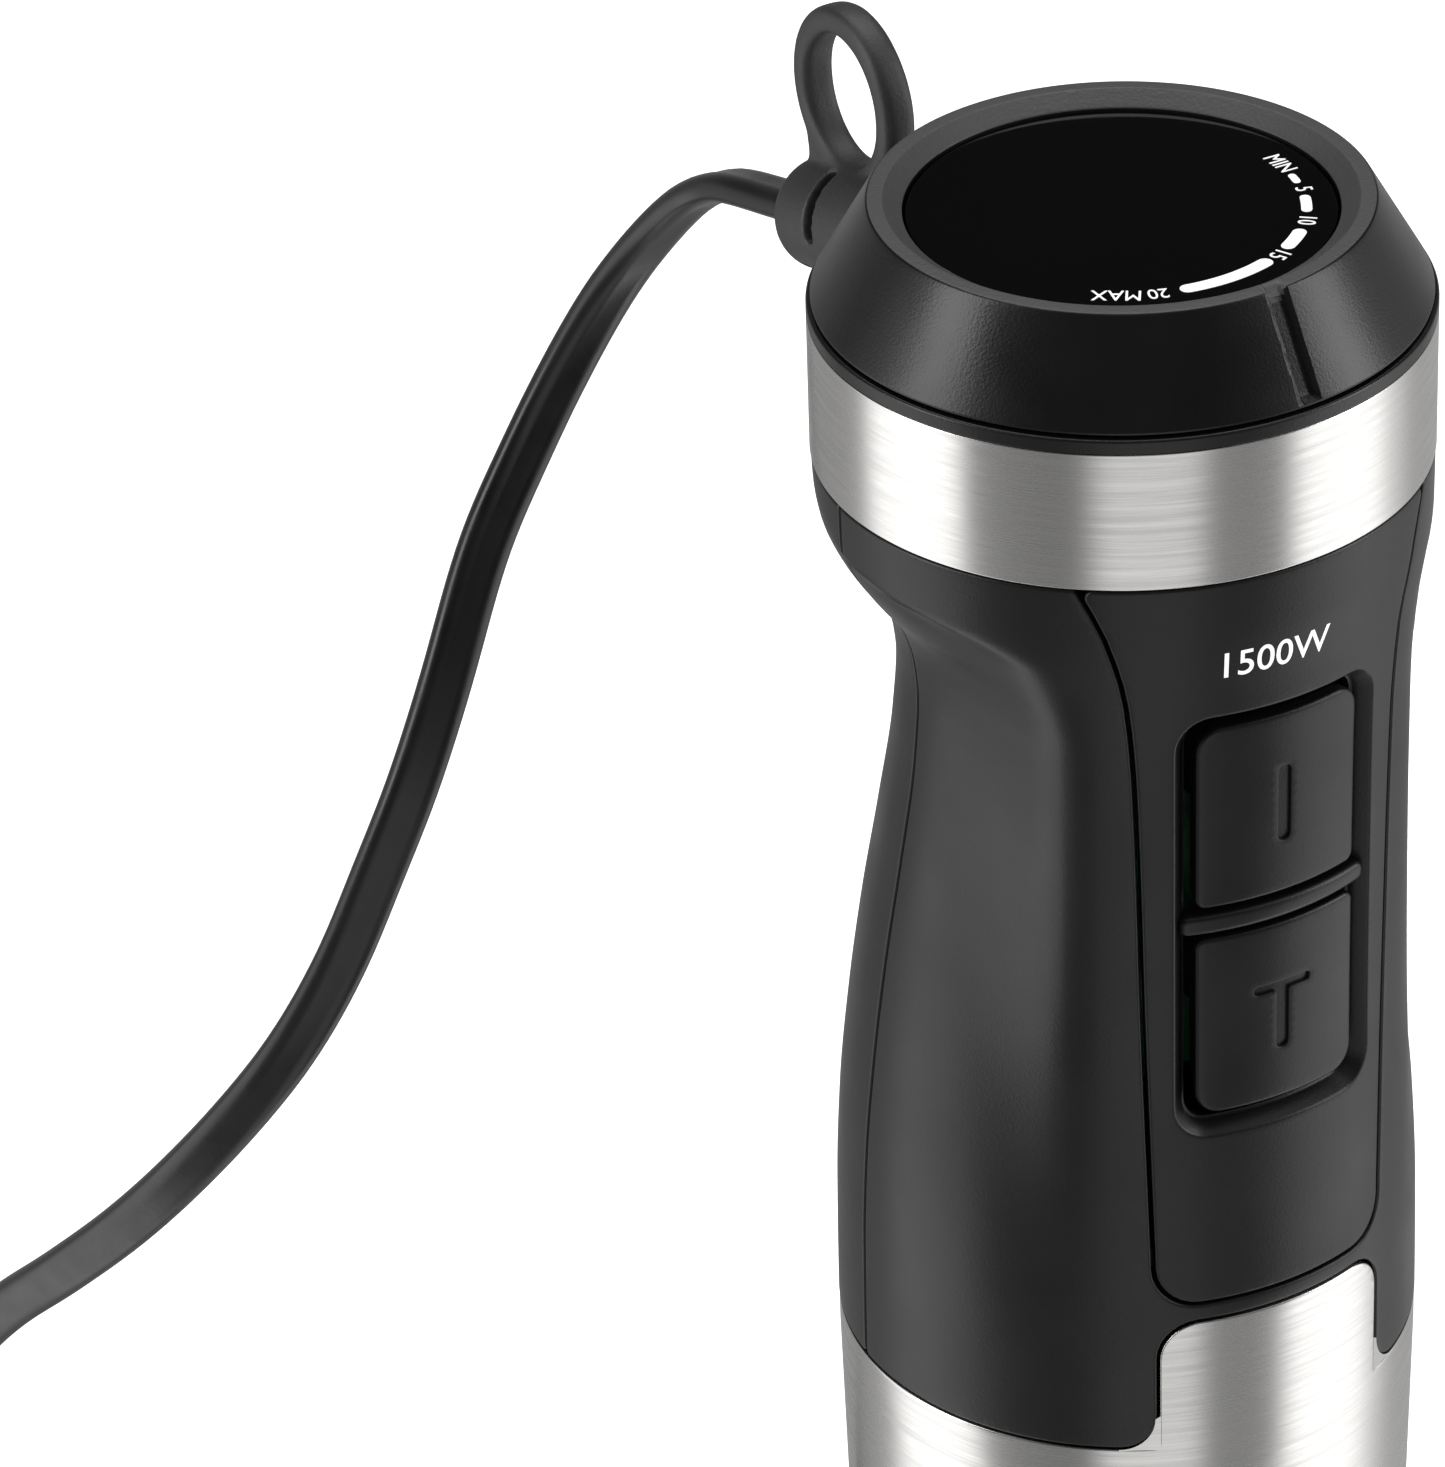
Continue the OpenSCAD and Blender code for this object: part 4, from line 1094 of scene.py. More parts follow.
@dataclass
class GripHousing:
    """Front and rear shells, the panel let into the front shell, and the two keys in its well."""

    skin: GripSkin = field(default_factory=GripSkin)
    top_z: float = GLASS_Z - 27.0
    low_z: float = GLASS_Z - 135.0
    seam_across: float = 53.75
    tab_half: float = 14.4
    tab_top_z: float = GLASS_Z - 119.0
    panel_low_z: float = GLASS_Z - 116.4
    panel_half: Knots = field(default_factory=lambda: Knots([
        (26, 22.9), (28, 22.0), (31, 20.5), (34, 19.3), (41, 17.6), (50, 16.8), (64, 16.3), (77, 16.0),
        (107, 15.0), (116, 14.7)]))
    well_half: float = 12.6
    well_top_z: float = GLASS_Z - 43.2
    well_low_z: float = GLASS_Z - 95.2
    panel_gap: float = 0.42
    wall: float = 1.9
    screw_r: float = 31.0

    def panel_side(self, grow: float) -> list[tuple[float, float, float]]:
        """Right side of the panel from its top down, then its lower right corner, grown by some mm."""
        side = [(float(self.panel_half(d)) + grow, GLASS_Z - d, 0.0) for d in np.linspace(27.0, 109.5, 30)]
        return side + [(14.8 + grow, self.panel_low_z - grow, 5.0 + grow)]

    def front_shell(self) -> bpy.types.Object:
        """Front shell, cut away round the panel and round the steel tab."""
        s, low, top = self.seam_across, self.low_z, self.top_z
        lobe = self.tab_half + 0.3
        right = self.panel_side(self.panel_gap)
        left = [(-x, z, r) for x, z, r in reversed(right)]
        loop = rounded([(-s, low, 0.7), (-lobe, low, 4.0), (-lobe, self.tab_top_z + 0.3, 4.6),
                        (lobe, self.tab_top_z + 0.3, 4.6), (lobe, low, 4.0), (s, low, 0.7), (s, top, 0.0),
                        *right, *left, (-s, top, 0.0)])
        relief = Relief("grip_front_shell", self.skin, Border(loop, ROUND_EDGE), thickness=self.wall,
                        pitch=0.85)
        piece = soften_normals(relief.build(GRIP_ABS))
        return hand_over(piece, "base", Slot.SATIN, ["front_shell"])

    def rear_shell(self) -> bpy.types.Object:
        """Rear shell, from seam to seam round the back."""
        s = self.seam_across + 0.28
        far = 2 * math.pi * UNROLL_R - s
        loop = rounded([(s, self.low_z, 0.7), (far, self.low_z, 0.7), (far, self.top_z, 0.0),
                        (s, self.top_z, 0.0)])
        holes = []
        for x, z in self.screw_spots():
            across = (math.pi - math.asin(x / self.screw_r)) * UNROLL_R
            ring = [(across + 2.5 * math.cos(a), z + 2.5 * math.sin(a))
                    for a in np.linspace(0, 2 * np.pi, 25)[:-1]]
            holes.append(Border(ring, ((0.3, 0.0), (0.1, 0.05), (0.0, 0.3), (0.0, 1.6)), floor=True))
        relief = Relief("grip_rear_shell", self.skin, Border(loop, ROUND_EDGE), holes, thickness=self.wall,
                        pitch=1.0)
        piece = soften_normals(relief.build(GRIP_ABS))
        return hand_over(piece, "base", Slot.SATIN, ["rear_shell"])

    def screw_spots(self) -> list[Point2]:
        """Side and height of the four screws that hold the rear shell."""
        return [(x, z) for x in (-SCREW_X, SCREW_X) for z in SCREW_ZS]

    def screws(self) -> bpy.types.Object:
        """The four screws, down in their holes."""
        spots = []
        for x, z in self.screw_spots():
            turn = math.pi - math.asin(x / self.screw_r)
            radius = float(self.skin.radius(np.array([turn]), np.array([GLASS_Z - z]))[0]) - self.wall
            spots.append((radius * math.sin(turn), -radius * math.cos(turn), z))
        piece = screw_heads("shell_screw_heads", np.array(spots), 1.9)
        return hand_over(piece, "base", Slot.MACHINED, ["shell_screws"])

    def panel(self) -> bpy.types.Object:
        """Button panel with its bevelled well."""
        right = self.panel_side(0.0)
        right[0] = (*right[0][:2], 0.9)
        loop = rounded([(-x, z, r) for x, z, r in right] + right[::-1])
        w, top, low = self.well_half, self.well_top_z, self.well_low_z
        well = rounded_box((-w, low), (w, top), (4.0, 4.0, 4.0, 4.0))
        steps = ((0.45, 0.0), (0.22, 0.03), (0.07, 0.12), (-0.05, 0.3), (-0.75, 1.35), (-0.95, 1.9),
                 (-1.1, 2.1), (-1.3, 2.15))
        relief = Relief("button_panel", self.skin, Border(loop, ROUND_EDGE), [Border(well, steps)],
                        thickness=3.0, pitch=0.8)
        piece = soften_normals(relief.build(PANEL_ABS))
        return hand_over(piece, "base", Slot.SATIN, ["button_panel"])

    def divider(self) -> bpy.types.Object:
        """Bar across the well between the keys."""
        bar = rounded_box((-12.1, GLASS_Z - 70.05), (12.1, GLASS_Z - 67.75), (1.0, 1.0, 1.0, 1.0))
        steps = ((0.75, 0.28), (0.45, 0.33), (0.18, 0.52), (0.03, 0.85), (0.0, 1.2))
        relief = Relief("key_divider", self.skin, Border(bar, [(i, d - 0.28) for i, d in steps]),
                        thickness=2.6, pitch=0.6, crown=lambda across, up: np.full_like(across, -0.28))
        piece = soften_normals(relief.build(PANEL_ABS))
        return hand_over(piece, "base", Slot.SATIN)

    def keys(self) -> list[bpy.types.Object]:
        """The on key and the turbo key, each with its engraved mark."""
        pill = rounded([(-0.8, GLASS_Z - 60.4, 0.78), (0.8, GLASS_Z - 60.4, 0.78),
                        (0.8, GLASS_Z - 51.2, 0.78), (-0.8, GLASS_Z - 51.2, 0.78)], steps=8)
        t_top, t_low = GLASS_Z - 77.9, GLASS_Z - 86.3
        t_bar = t_top - 1.1
        tee = rounded([(-0.78, t_low, 0.76), (0.78, t_low, 0.76), (0.78, t_bar, 0.3), (3.6, t_bar, 0.5),
                       (3.6, t_top, 0.5), (-3.6, t_top, 0.5), (-3.6, t_bar, 0.5), (-0.78, t_bar, 0.3)],
                      steps=6)
        made = []
        for key in (Key("on_key", "on_button", 44.9, 66.9, (1.2, 1.2, 3.0, 3.0), pill),
                    Key("turbo_key", "turbo_button", 70.7, 92.7, (3.0, 3.0, 1.2, 1.2), tee)):
            box = rounded_box((-10.35, GLASS_Z - key.low), (10.35, GLASS_Z - key.top), key.corners)
            mark = Border(key.mark, ((0.12, 0.0), (0.04, 0.02), (0.0, 0.08), (-0.06, 0.42)), floor=True)
            middle = GLASS_Z - (key.top + key.low) / 2
            edge = Border(box, ((0.6, 0.0), (0.34, 0.05), (0.14, 0.2), (0.0, 0.55)))
            relief = Relief(key.name, self.skin, edge, [mark], thickness=2.9, pitch=0.7,
                            crown=lambda a, u, m=middle: -0.42 + 0.0 * a + 0.16 * np.clip(
                                1 - (a / 10.4) ** 2, 0, 1) * np.clip(1 - ((u - m) / 11.0) ** 2, 0, 1))
            piece = soften_normals(relief.build(KEY_ABS))
            made.append(hand_over(piece, key.name, Slot.SATIN, [key.stands_for]))
        return made

    def power_mark(self) -> bpy.types.Object:
        """Plain power rating printed over the keys."""
        points, faces = lettering("1500W", 3.1, bold=0.02)
        points[:, 0] += -1.4
        points[:, 1] += GLASS_Z - 36.8
        placed = self.skin.wrap(points[:, 0], points[:, 1], -points[:, 2])
        piece = make_mesh("power_rating", placed, faces, PAD_PRINT)
        return hand_over(piece, "base", Slot.PRINT)

    def build(self) -> None:
        """Makes the whole housing."""
        self.front_shell()
        self.rear_shell()
        self.screws()
        self.panel()
        self.divider()
        self.keys()
        self.power_mark()


@dataclass
class SpeedDial:
    """Collar band, cap ring, smooth cone dial with its pointer notch, window and printed scale."""

    pointer_deg: float = 4.0
    notch_half: float = 1.35
    cone: Sequence[tuple[float, float, float]] = (
        (29.9, 390.95, 0.0), (32.57, 390.95, 0.16), (32.5, 391.25, 0.2), (26.5, 401.68, 0.38),
        (24.75, 401.72, 0.3), (22.74, 400.38, 0.22), (22.74, 394.8, 0.0), (27.4, 394.8, 0.0))
    bars: Sequence[tuple[float, float, float]] = ((74.5, 81.0, 0.85), (54.6, 66.0, 1.15), (28.8, 42.9, 1.5),
                                                  (-14.0, 20.3, 1.7))
    words: Sequence[tuple[str, float, float]] = (("MIN", 89.0, 1.95), ("5", 70.2, 1.8), ("10", 48.6, 1.9),
                                                 ("15", 24.4, 1.9), ("20", -21.0, 2.0), ("MAX", -33.8, 2.1))
    bars_r: float = 19.15
    words_r: float = 19.4

    def dial(self) -> bpy.types.Object:
        """The turning dial: cone, grained lip and dished rim, with the pointer notch pressed in."""
        outline = spread(rounded(self.cone, steps=5), 0.55)
        run = np.roll(outline, -1, axis=0) - np.roll(outline, 1, axis=0)
        normal = np.column_stack([run[:, 1], -run[:, 0]]) / np.hypot(*run.T)[:, None]
        fine = math.degrees(0.09 / 30)
        reach = math.degrees(2.4 / 27)
        turns = np.concatenate([np.arange(self.pointer_deg - reach, self.pointer_deg + reach, fine),
                                np.arange(self.pointer_deg + reach, self.pointer_deg + 360 - reach, 1.25)])
        angle = np.radians(turns)
        points, n = [], len(turns)
        for (radius, height), (nr, nz) in zip(outline, normal):
            side = ((turns - self.pointer_deg + 180) % 360 - 180) * math.pi / 180 * radius
            depth = self.notch_depth(side) * self.notch_share(radius, height)
            r, z = radius - nr * depth, height - nz * depth
            points.append(np.column_stack([r * np.sin(angle), -r * np.cos(angle), z]))
        faces = []
        for a in range(len(outline)):
            b = (a + 1) % len(outline)
            faces.extend([a * n + i, a * n + (i + 1) % n, b * n + (i + 1) % n, b * n + i] for i in range(n))
        piece = make_mesh("speed_dial_cone", np.vstack(points), faces, DIAL_ABS, smooth_deg=60)
        # The lip and dish faces take the lighter grey copy of the black ABS: painted sheen on the top of the
        # dial.
        piece.data.materials.append(LIP_GRAIN_PAINTED_SHEEN.material())
        for polygon in piece.data.polygons:
            middle = polygon.center
            if math.hypot(middle.x, middle.y) < 26.35 * MM and middle.z > 400.0 * MM:
                polygon.material_index = 1
        return hand_over(soften_normals(piece), "dial", Slot.SATIN, ["speed_dial"])

    def notch_depth(self, side: np.ndarray) -> np.ndarray:
        """Shapes the notch: a small step and a wall on one side, a slope on the other.

        Args:
            side: Distance from the notch's middle, in mm.

        Returns:
            Depth in mm.
        """
        w = self.notch_half
        return np.interp(side, [-w, -w + 0.12, -w + 0.5, -w + 0.66, w - 0.62, w],
                         [0, 0.32, 0.34, 0.95, 0.95, 0])

    def notch_share(self, radius: float, height: float) -> float:
        """Fades the notch out towards the lip and the rim.

        Args:
            radius: Radius of the place on the outline.
            height: Its height.

        Returns:
            Share of the notch's depth that is cut there.
        """
        if radius < 25.5 or height < 391.2:
            return 0.0
        low = min(1.0, max(0.0, (height - 391.3) / 0.5))
        top = 1.0 if height < 401.3 else min(1.0, max(0.0, (radius - 25.6) / 0.5))
        return low * top

    def window(self) -> bpy.types.Object:
        """Fixed black window in the middle of the dial."""
        outline = rounded([(0.0, 398.4, 0.0), (22.45, 398.4, 0.0), (22.45, 400.0, 0.22), (0.0, 400.0, 0.0)],
                          steps=6, closed=False)
        piece = soften_normals(turned("dial_window", outline, WINDOW_ACRYLIC, segments=256))
        return hand_over(piece, "base", Slot.GLOSS, ["dial_glass"])

    def scale(self) -> bpy.types.Object:
        """Numerals and bars of the speed scale, printed on the window; the bars grow towards full speed."""
        parts = []
        for start, end, width in self.bars:
            mid, half = self.bars_r, width / 2
            pad = math.degrees(half / mid)
            a0, a1 = math.radians(start + pad), math.radians(end - pad)
            outer = [(a, mid + half) for a in np.linspace(a0, a1, 24)]
            inner = [(a, mid - half) for a in np.linspace(a1, a0, 24)]
            ring = [(r * math.sin(a), -r * math.cos(a)) for a, r in outer]
            ring += self._round_end(a1, mid, half, 1)
            ring += [(r * math.sin(a), -r * math.cos(a)) for a, r in inner]
            ring += self._round_end(a0, mid, half, -1)
            parts.append(slab(np.array(ring), GLASS_Z + 0.005, GLASS_Z + 0.045))
        for text, degrees, height in self.words:
            points, faces = lettering(text, height)
            points[:, 0] *= 0.8
            a = math.radians(degrees)
            outward, along = np.array([math.sin(a), -math.cos(a)]), np.array([-math.cos(a), -math.sin(a)])
            flat = outward * self.words_r + points[:, :1] * along + points[:, 1:2] * outward
            parts.append((np.column_stack([flat, points[:, 2] + GLASS_Z + 0.005]), faces))
        points, faces = join_parts(parts)
        piece = make_mesh("speed_scale", points, faces, PAD_PRINT)
        return hand_over(piece, "base", Slot.PRINT, ["dial_scale"])

    @staticmethod
    def _round_end(angle: float, middle: float, half: float, way: int) -> list[Point2]:
        """Half-round end of a bar, anticlockwise."""
        centre = np.array([middle * math.sin(angle), -middle * math.cos(angle)])
        outward = np.array([math.sin(angle), -math.cos(angle)])
        along = np.array([math.cos(angle), math.sin(angle)]) * way
        turns = np.linspace(0, math.pi, 9)[1:-1]
        return [tuple(centre + half * (math.cos(t) * outward * way + math.sin(t) * along)) for t in turns]

    def collar(self) -> bpy.types.Object:
        """Brushed steel band round the top of the motor unit."""
        outline = rounded([(32.1, 373.22, 0.0), (33.0, 373.22, 0.18), (33.0, 388.98, 0.12),
                           (32.1, 388.98, 0.0)])
        piece = soften_normals(turned("steel_collar_band", outline, COLLAR_STEEL, segments=256))
        return hand_over(piece, "base", Slot.STEEL, ["steel_collar"])

    def cap(self) -> bpy.types.Object:
        """Black ring between the band and the dial."""
        outline = rounded([(29.5, 389.02, 0.0), (33.0, 389.02, 0.15), (33.0, 390.62, 0.35),
                           (29.5, 390.62, 0.0)])
        piece = soften_normals(turned("cap_ring_black", outline, DIAL_ABS, segments=256))
        return hand_over(piece, "base", Slot.SATIN, ["cap_ring"])

    def build(self) -> None:
        """Makes the top of the motor unit."""
        self.dial()
        self.window()
        self.scale()
        self.collar()
        self.cap()


@dataclass
class LowerUnit:
    """Steel sleeve with its tab, the coupling ring and the two release buttons."""

    low_z: float = 199.62
    low_r: float = 30.9
    high_r: float = 32.3
    window_half: float = 6.8
    window_z: float = 212.0

    def sleeve(self) -> bpy.types.Object:
        """Tapered steel sleeve; its top edge rises into a tab at the front."""
        skin = TurnedSkin([(self.low_r, self.low_z), (self.high_r, 261.0), (self.high_r, 281.1)])
        base = skin.at[1] - 261.0
        seam = math.pi * UNROLL_R
        top = base + GLASS_Z - 135.3
        tab = base + GLASS_Z - 119.0
        loop = rounded([(-seam, 0.0, 0.0), (seam, 0.0, 0.0), (seam, top, 0.0), (14.4, top, 0.0),
                        (14.4, tab, 4.5), (-14.4, tab, 4.5), (-14.4, top, 0.0), (-seam, top, 0.0)], steps=10)
        centre = self.window_z - self.low_z
        holes = []
        for side in (-1, 1):
            mid = side * seam / 2
            box = rounded_box((mid - 7.05, centre - 6.3), (mid + 7.05, centre + 6.3), (2.8, 2.8, 2.8, 2.8))
            holes.append(Border(box, CRISP_EDGE))
        relief = Relief("steel_sleeve", skin, Border(loop, CRISP_EDGE), holes, thickness=0.8, pitch=1.1,
                        seam=seam)
        piece = soften_normals(relief.build(SLEEVE_STEEL))
        return hand_over(piece, "base", Slot.STEEL, ["lower_sleeve"])

    def lobe_fillers(self) -> bpy.types.Object:
        """Steel that fills the rounded lower corners of the front shell on both sides of the tab."""
        skin = TurnedSkin([(self.high_r, 258.0), (self.high_r, 281.1)])
        edge, low, lobe_r, gap = 14.7, 7.0, 4.0, 0.22
        arc = [(edge + lobe_r - lobe_r * math.cos(a) + gap, low + lobe_r - lobe_r * math.sin(a) - gap)
               for a in np.linspace(0, math.pi / 2, 12)]
        right = np.array([(14.3, 6.6), (18.9, 6.6), *reversed(arc), (14.3, 11.2)])
        parts = []
        for loop in ((right * (-1, 1))[::-1], right):
            for depth in (0.0, 0.6):
                parts.append(skin.wrap(loop[:, 0], loop[:, 1], np.full(len(loop), depth)))
        n = len(parts[0])
        faces = []
        for k in (0, 2):
            base = k * n
            faces.append(list(range(base, base + n)))
            faces.append(list(range(base + 2 * n - 1, base + n - 1, -1)))
            faces.extend([base + i, base + n + i, base + n + (i + 1) % n, base + (i + 1) % n]
                         for i in range(n))
        piece = make_mesh("sleeve_lobe_fill", np.vstack(parts), faces, SLEEVE_STEEL)
        return hand_over(piece, "base", Slot.STEEL)

    def coupling_ring(self) -> bpy.types.Object:
        """Black ring at the lower rim of the motor unit."""
        outline = rounded([(29.7, 196.32, 0.2), (30.9, 196.32, 0.5), (30.9, 199.6, 0.2), (29.7, 199.6, 0.0)])
        piece = soften_normals(turned("rim_ring_black", outline, GRIP_ABS, segments=192))
        return hand_over(piece, "base", Slot.SATIN, ["coupling_ring"])

    def release_button(self, side: int) -> list[bpy.types.Object]:
        """One release button with three finger ribs.

        Args:
            side: -1 for the left button, 1 for the right one.

        Returns:
            The button and its ribs.
        """
        label, body = ("left", "release_left") if side < 0 else ("right", "release_right")
        skin = TurnedSkin([(31.7, 200.0), (31.75, 224.0)])
        mid = side * math.pi / 2 * UNROLL_R
        centre = self.window_z - 200.0
        box = rounded_box((mid - 6.6, centre - 5.9), (mid + 6.6, centre + 5.9), (2.5, 2.5, 2.5, 2.5))
        relief = Relief(f"release_cap_{label}", skin, Border(box, ROUND_EDGE), thickness=3.0, pitch=0.8)
        button = hand_over(soften_normals(relief.build(KEY_ABS)), body, Slot.SATIN,
                           [f"release_button_{label}"])
        spots = np.array([(side * 31.45, 0.0, self.window_z + z) for z in (-3.0, 0.0, 3.0)])
        ribs = grip_ribs(f"release_ribs_{label}", spots, 7.5, KEY_ABS)
        return [button, hand_over(ribs, body, Slot.SATIN)]

    def build(self) -> None:
        """Makes the lower end of the motor unit."""
        self.sleeve()
        self.lobe_fillers()
        self.coupling_ring()
        for side in (-1, 1):
            self.release_button(side)


@dataclass
class BlendingFoot:
    """Foot collar, steel tube and bell guard with its four arched vents."""

    tube_r: float = 15.0
    bell_r: float = 32.0
    flat_z: float = 18.0
    crown_z: float = 41.0
    vent_half: float = 6.5
    vent_h: float = 9.0

    def collar(self) -> bpy.types.Object:
        """Black flared collar that carries the latch, up to the motor unit."""
        skirt = [(17 + 13 * (1 - math.cos(math.pi * t)) / 2, 160.0 + 24.4 * t, 0.0)
                 for t in np.arange(1, 25) / 24]
        outline = rounded([(self.tube_r + 0.05, 160.0, 0.0), (16.6, 160.0, 0.3), *skirt, (30.4, 195.3, 0.3),
                           (29.9, 195.9, 0.25), (28.6, 195.9, 0.2), (28.6, 186.4, 0.3), (5.6, 186.4, 0.2),
                           (5.6, 170.2, 0.0), (self.tube_r + 0.05, 170.2, 0.0)])
        piece = soften_normals(turned("foot_collar_black", outline, GRIP_ABS, segments=160))
        return hand_over(piece, "base", Slot.SATIN, ["foot_collar"])

    def tube(self) -> bpy.types.Object:
        """Steel shaft tube."""
        outline = rounded([(14.0, 47.02, 0.0), (15.0, 47.02, 0.0), (15.0, 169.9, 0.0), (14.0, 169.9, 0.0)])
        piece = soften_normals(turned("shaft_tube", outline, FOOT_STEEL, segments=128))
        return hand_over(piece, "base", Slot.STEEL, ["foot_tube"])

    def bell(self) -> bpy.types.Object:
        """Pressed steel bell, with the floor of its chamber and the vents cut in its rim."""
        arc = [(16 + 16 * math.cos(a), self.flat_z + 23 * math.sin(a))
               for a in np.linspace(0, math.pi / 2, 19)]
        skin = TurnedSkin([(self.bell_r, 0.0), *arc, (15.02, self.crown_z + 1.4), (15.0, 46.98)])
        seam = math.pi * UNROLL_R
        top = float(skin.at[-1])
        grow = UNROLL_R / self.bell_r * self.vent_half
        corners: list[tuple[float, float, float]] = [(-seam, 0.0, 0.0)]
        for quarter in (-0.75, -0.25, 0.25, 0.75):
            mid = quarter * seam
            corners += [(mid - grow, 0.0, 0.4), (mid - grow, self.vent_h, 3.0),
                        (mid + grow, self.vent_h, 3.0), (mid + grow, 0.0, 0.4)]
        corners += [(seam, 0.0, 0.0), (seam, top, 0.0), (-seam, top, 0.0)]
        relief = Relief("bell_pressing", skin, Border(rounded(corners), CRISP_EDGE), thickness=1.2, pitch=1.1,
                        seam=seam)
        piece = relief.build(FOOT_STEEL)
        piece.data.transform(Matrix.Rotation(math.pi / 4, 4, "Z"))
        return hand_over(soften_normals(piece), "base", Slot.STEEL, ["bell_guard"])

    def hub_block(self) -> bpy.types.Object:
        """Solid middle of the bell that holds the lower bush."""
        outline = rounded([(9.5, 36.0, 0.3), (16.5, 36.2, 1.0), (14.6, 41.4, 0.8), (14.2, 46.9, 0.0),
                           (9.5, 46.9, 0.0)])
        piece = soften_normals(turned("bell_hub", outline, FOOT_STEEL, segments=96))
        return hand_over(piece, "base", Slot.STEEL)

    def build(self) -> None:
        """Makes the foot."""
        self.collar()
        self.tube()
        self.bell()
        self.hub_block()


# ---------------------------------------------------------------- the mains cord, its boot and its plug


def smooth_line(knots: np.ndarray, parts: int = 4) -> np.ndarray:
    """Runs a smooth curve through the knots.

    Args:
        knots: Points in mm.
        parts: Steps between two knots.

    Returns:
        Points in mm, the knots among them.
    """
    padded = np.vstack([2 * knots[0] - knots[1], knots, 2 * knots[-1] - knots[-2]])
    out = []
    for p0, p1, p2, p3 in zip(padded, padded[1:], padded[2:], padded[3:]):
        for t in np.arange(parts) / parts:
            out.append(0.5 * (2 * p1 + (p2 - p0) * t + (2 * p0 - 5 * p1 + 4 * p2 - p3) * t * t
                              + (3 * p1 - p0 - 3 * p2 + p3) * t ** 3))
    return np.array([*out, knots[-1]])


def line_length(line: np.ndarray) -> float:
    """Length of a line through its points."""
    return float(np.linalg.norm(np.diff(line, axis=0), axis=1).sum())


@dataclass
class MainsCord:
    """Flat twin cord from the boot to the floor, its coil and its tail, with the plug on the end."""

    width: float = 6.4
    thick: float = 3.8
    coil_mid: Point2 = (-38.0, 285.0)
    outer_turn: float = 37.0
    inner_turn: float = 33.0
    low_z: float = 3.25
    high_z: float = 9.75
    tail_deg: float = 14.0
    twist_mm: float = 40.0
    pitch: float = 1.9
    route: Sequence[tuple[float, float, float]] = (
        (0, 61.98, 372.94), (0, 71.64, 370.35), (0, 80.9, 367.9), (0, 86, 366), (-1, 92, 362), (-3, 99, 354),
        (-6, 104, 345.5), (-10.5, 107, 335.5),
        (-16, 107.5, 326), (-23, 106, 315.5), (-31, 102, 301.5), (-37, 100, 290.5), (-42, 100, 280.5),
        (-47.5, 101, 268.5), (-53, 104, 257), (-58, 110, 245.5), (-63, 118.5, 233), (-67, 128.5, 221),
        (-71, 140, 209), (-74, 152, 197.5), (-76, 164, 184), (-77, 176, 168), (-77, 188, 150),
        (-77, 199, 130), (-77, 210, 108), (-76, 221, 86), (-76, 232, 64), (-75, 243, 44), (-75, 254, 27),
        (-75, 264, 14.5), (-75, 272, 7.5))

    def on_tail(self, points: np.ndarray) -> np.ndarray:
        """Swings points of the straight tail about the coil's middle to where they lie.

        Args:
            points: Points in mm.

        Returns:
            The points in their places.
        """
        a = math.radians(self.tail_deg)
        x, y = points[:, 0] - self.coil_mid[0], points[:, 1] - self.coil_mid[1]
        return np.column_stack([self.coil_mid[0] + x * math.cos(a) - y * math.sin(a),
                                self.coil_mid[1] + x * math.sin(a) + y * math.cos(a), points[:, 2]])

    def coil(self) -> np.ndarray:
        """Two turns on the floor and one and a half on top of them, wound clockwise from the left side."""
        last = 1260.0 - self.tail_deg
        turns = np.arange(8.0, last, 8.0)
        radius = np.interp(turns, [0, 316, 360, 1076, 1122, 1400],
                           [self.outer_turn, self.outer_turn, self.inner_turn, self.inner_turn,
                            self.outer_turn, self.outer_turn])
        height = np.interp(turns, [0, 672, 728, 1400], [self.low_z, self.low_z, self.high_z, self.high_z])
        for values in (radius, height):
            values[:] = np.convolve(np.pad(values, 3, mode="edge"), np.ones(7) / 7, mode="valid")
        angle = math.pi - np.radians(turns)
        return np.column_stack([self.coil_mid[0] + radius * np.cos(angle),
                                self.coil_mid[1] + radius * np.sin(angle), height])

    def tail(self) -> np.ndarray:
        """From the coil's last turn straight up into the plug."""
        x = self.coil_mid[0] + self.outer_turn
        return self.on_tail(np.array([(x, 278, 9.8), (x, 271, 10.1), (x, 264, 11.6), (x, 257, 14.0),
                                      (x, 250.5, 16.6), (x, 243.5, 18.0)]))

    def line(self) -> np.ndarray:
        """The cord's whole middle line, in mm."""
        down = np.vstack([np.array(self.route, float), [(-75, 279, 4.2), (-75, 285, self.low_z)]])
        return np.vstack([smooth_line(down), smooth_line(np.vstack([self.coil(), self.tail()]), 1)])

    def wide_side(self, share: np.ndarray, tail_share: np.ndarray) -> np.ndarray:
        """Turns the cord's wide side: level at the boot, facing forward, upright on the floor.

        Args:
            share: How far down to the floor each point is, from 0 to 1.
            tail_share: How far it has turned level again for the plug, from 0 to 1.

        Returns:
            A direction for each point.
        """
        stages = ((0.0, (1.0, 0.0, 0.0)), (0.5, (0.5, -0.66, -0.56)), (1.0, (0.0, -0.2, -1.0)))
        at = [s[0] for s in stages]
        side = np.column_stack([np.interp(share, at, [s[1][k] for s in stages]) for k in range(3)])
        level = np.array([-1.0, 0.0, -0.15])
        return side * (1 - tail_share[:, None]) + level * tail_share[:, None]

    def section(self, steps: int = 28) -> np.ndarray:
        """Cross-section: two wires side by side under one jacket, with a shallow valley between them."""
        turns = np.linspace(0, 2 * np.pi, steps, endpoint=False)
        wide = np.sign(np.cos(turns)) * np.abs(np.cos(turns)) ** 0.8 * self.width / 2
        flat = np.sign(np.sin(turns)) * np.abs(np.sin(turns)) ** 0.8 * self.thick / 2
        return np.column_stack([wide, flat * (1 - 0.13 * np.exp(-(wide / 0.85) ** 2))])

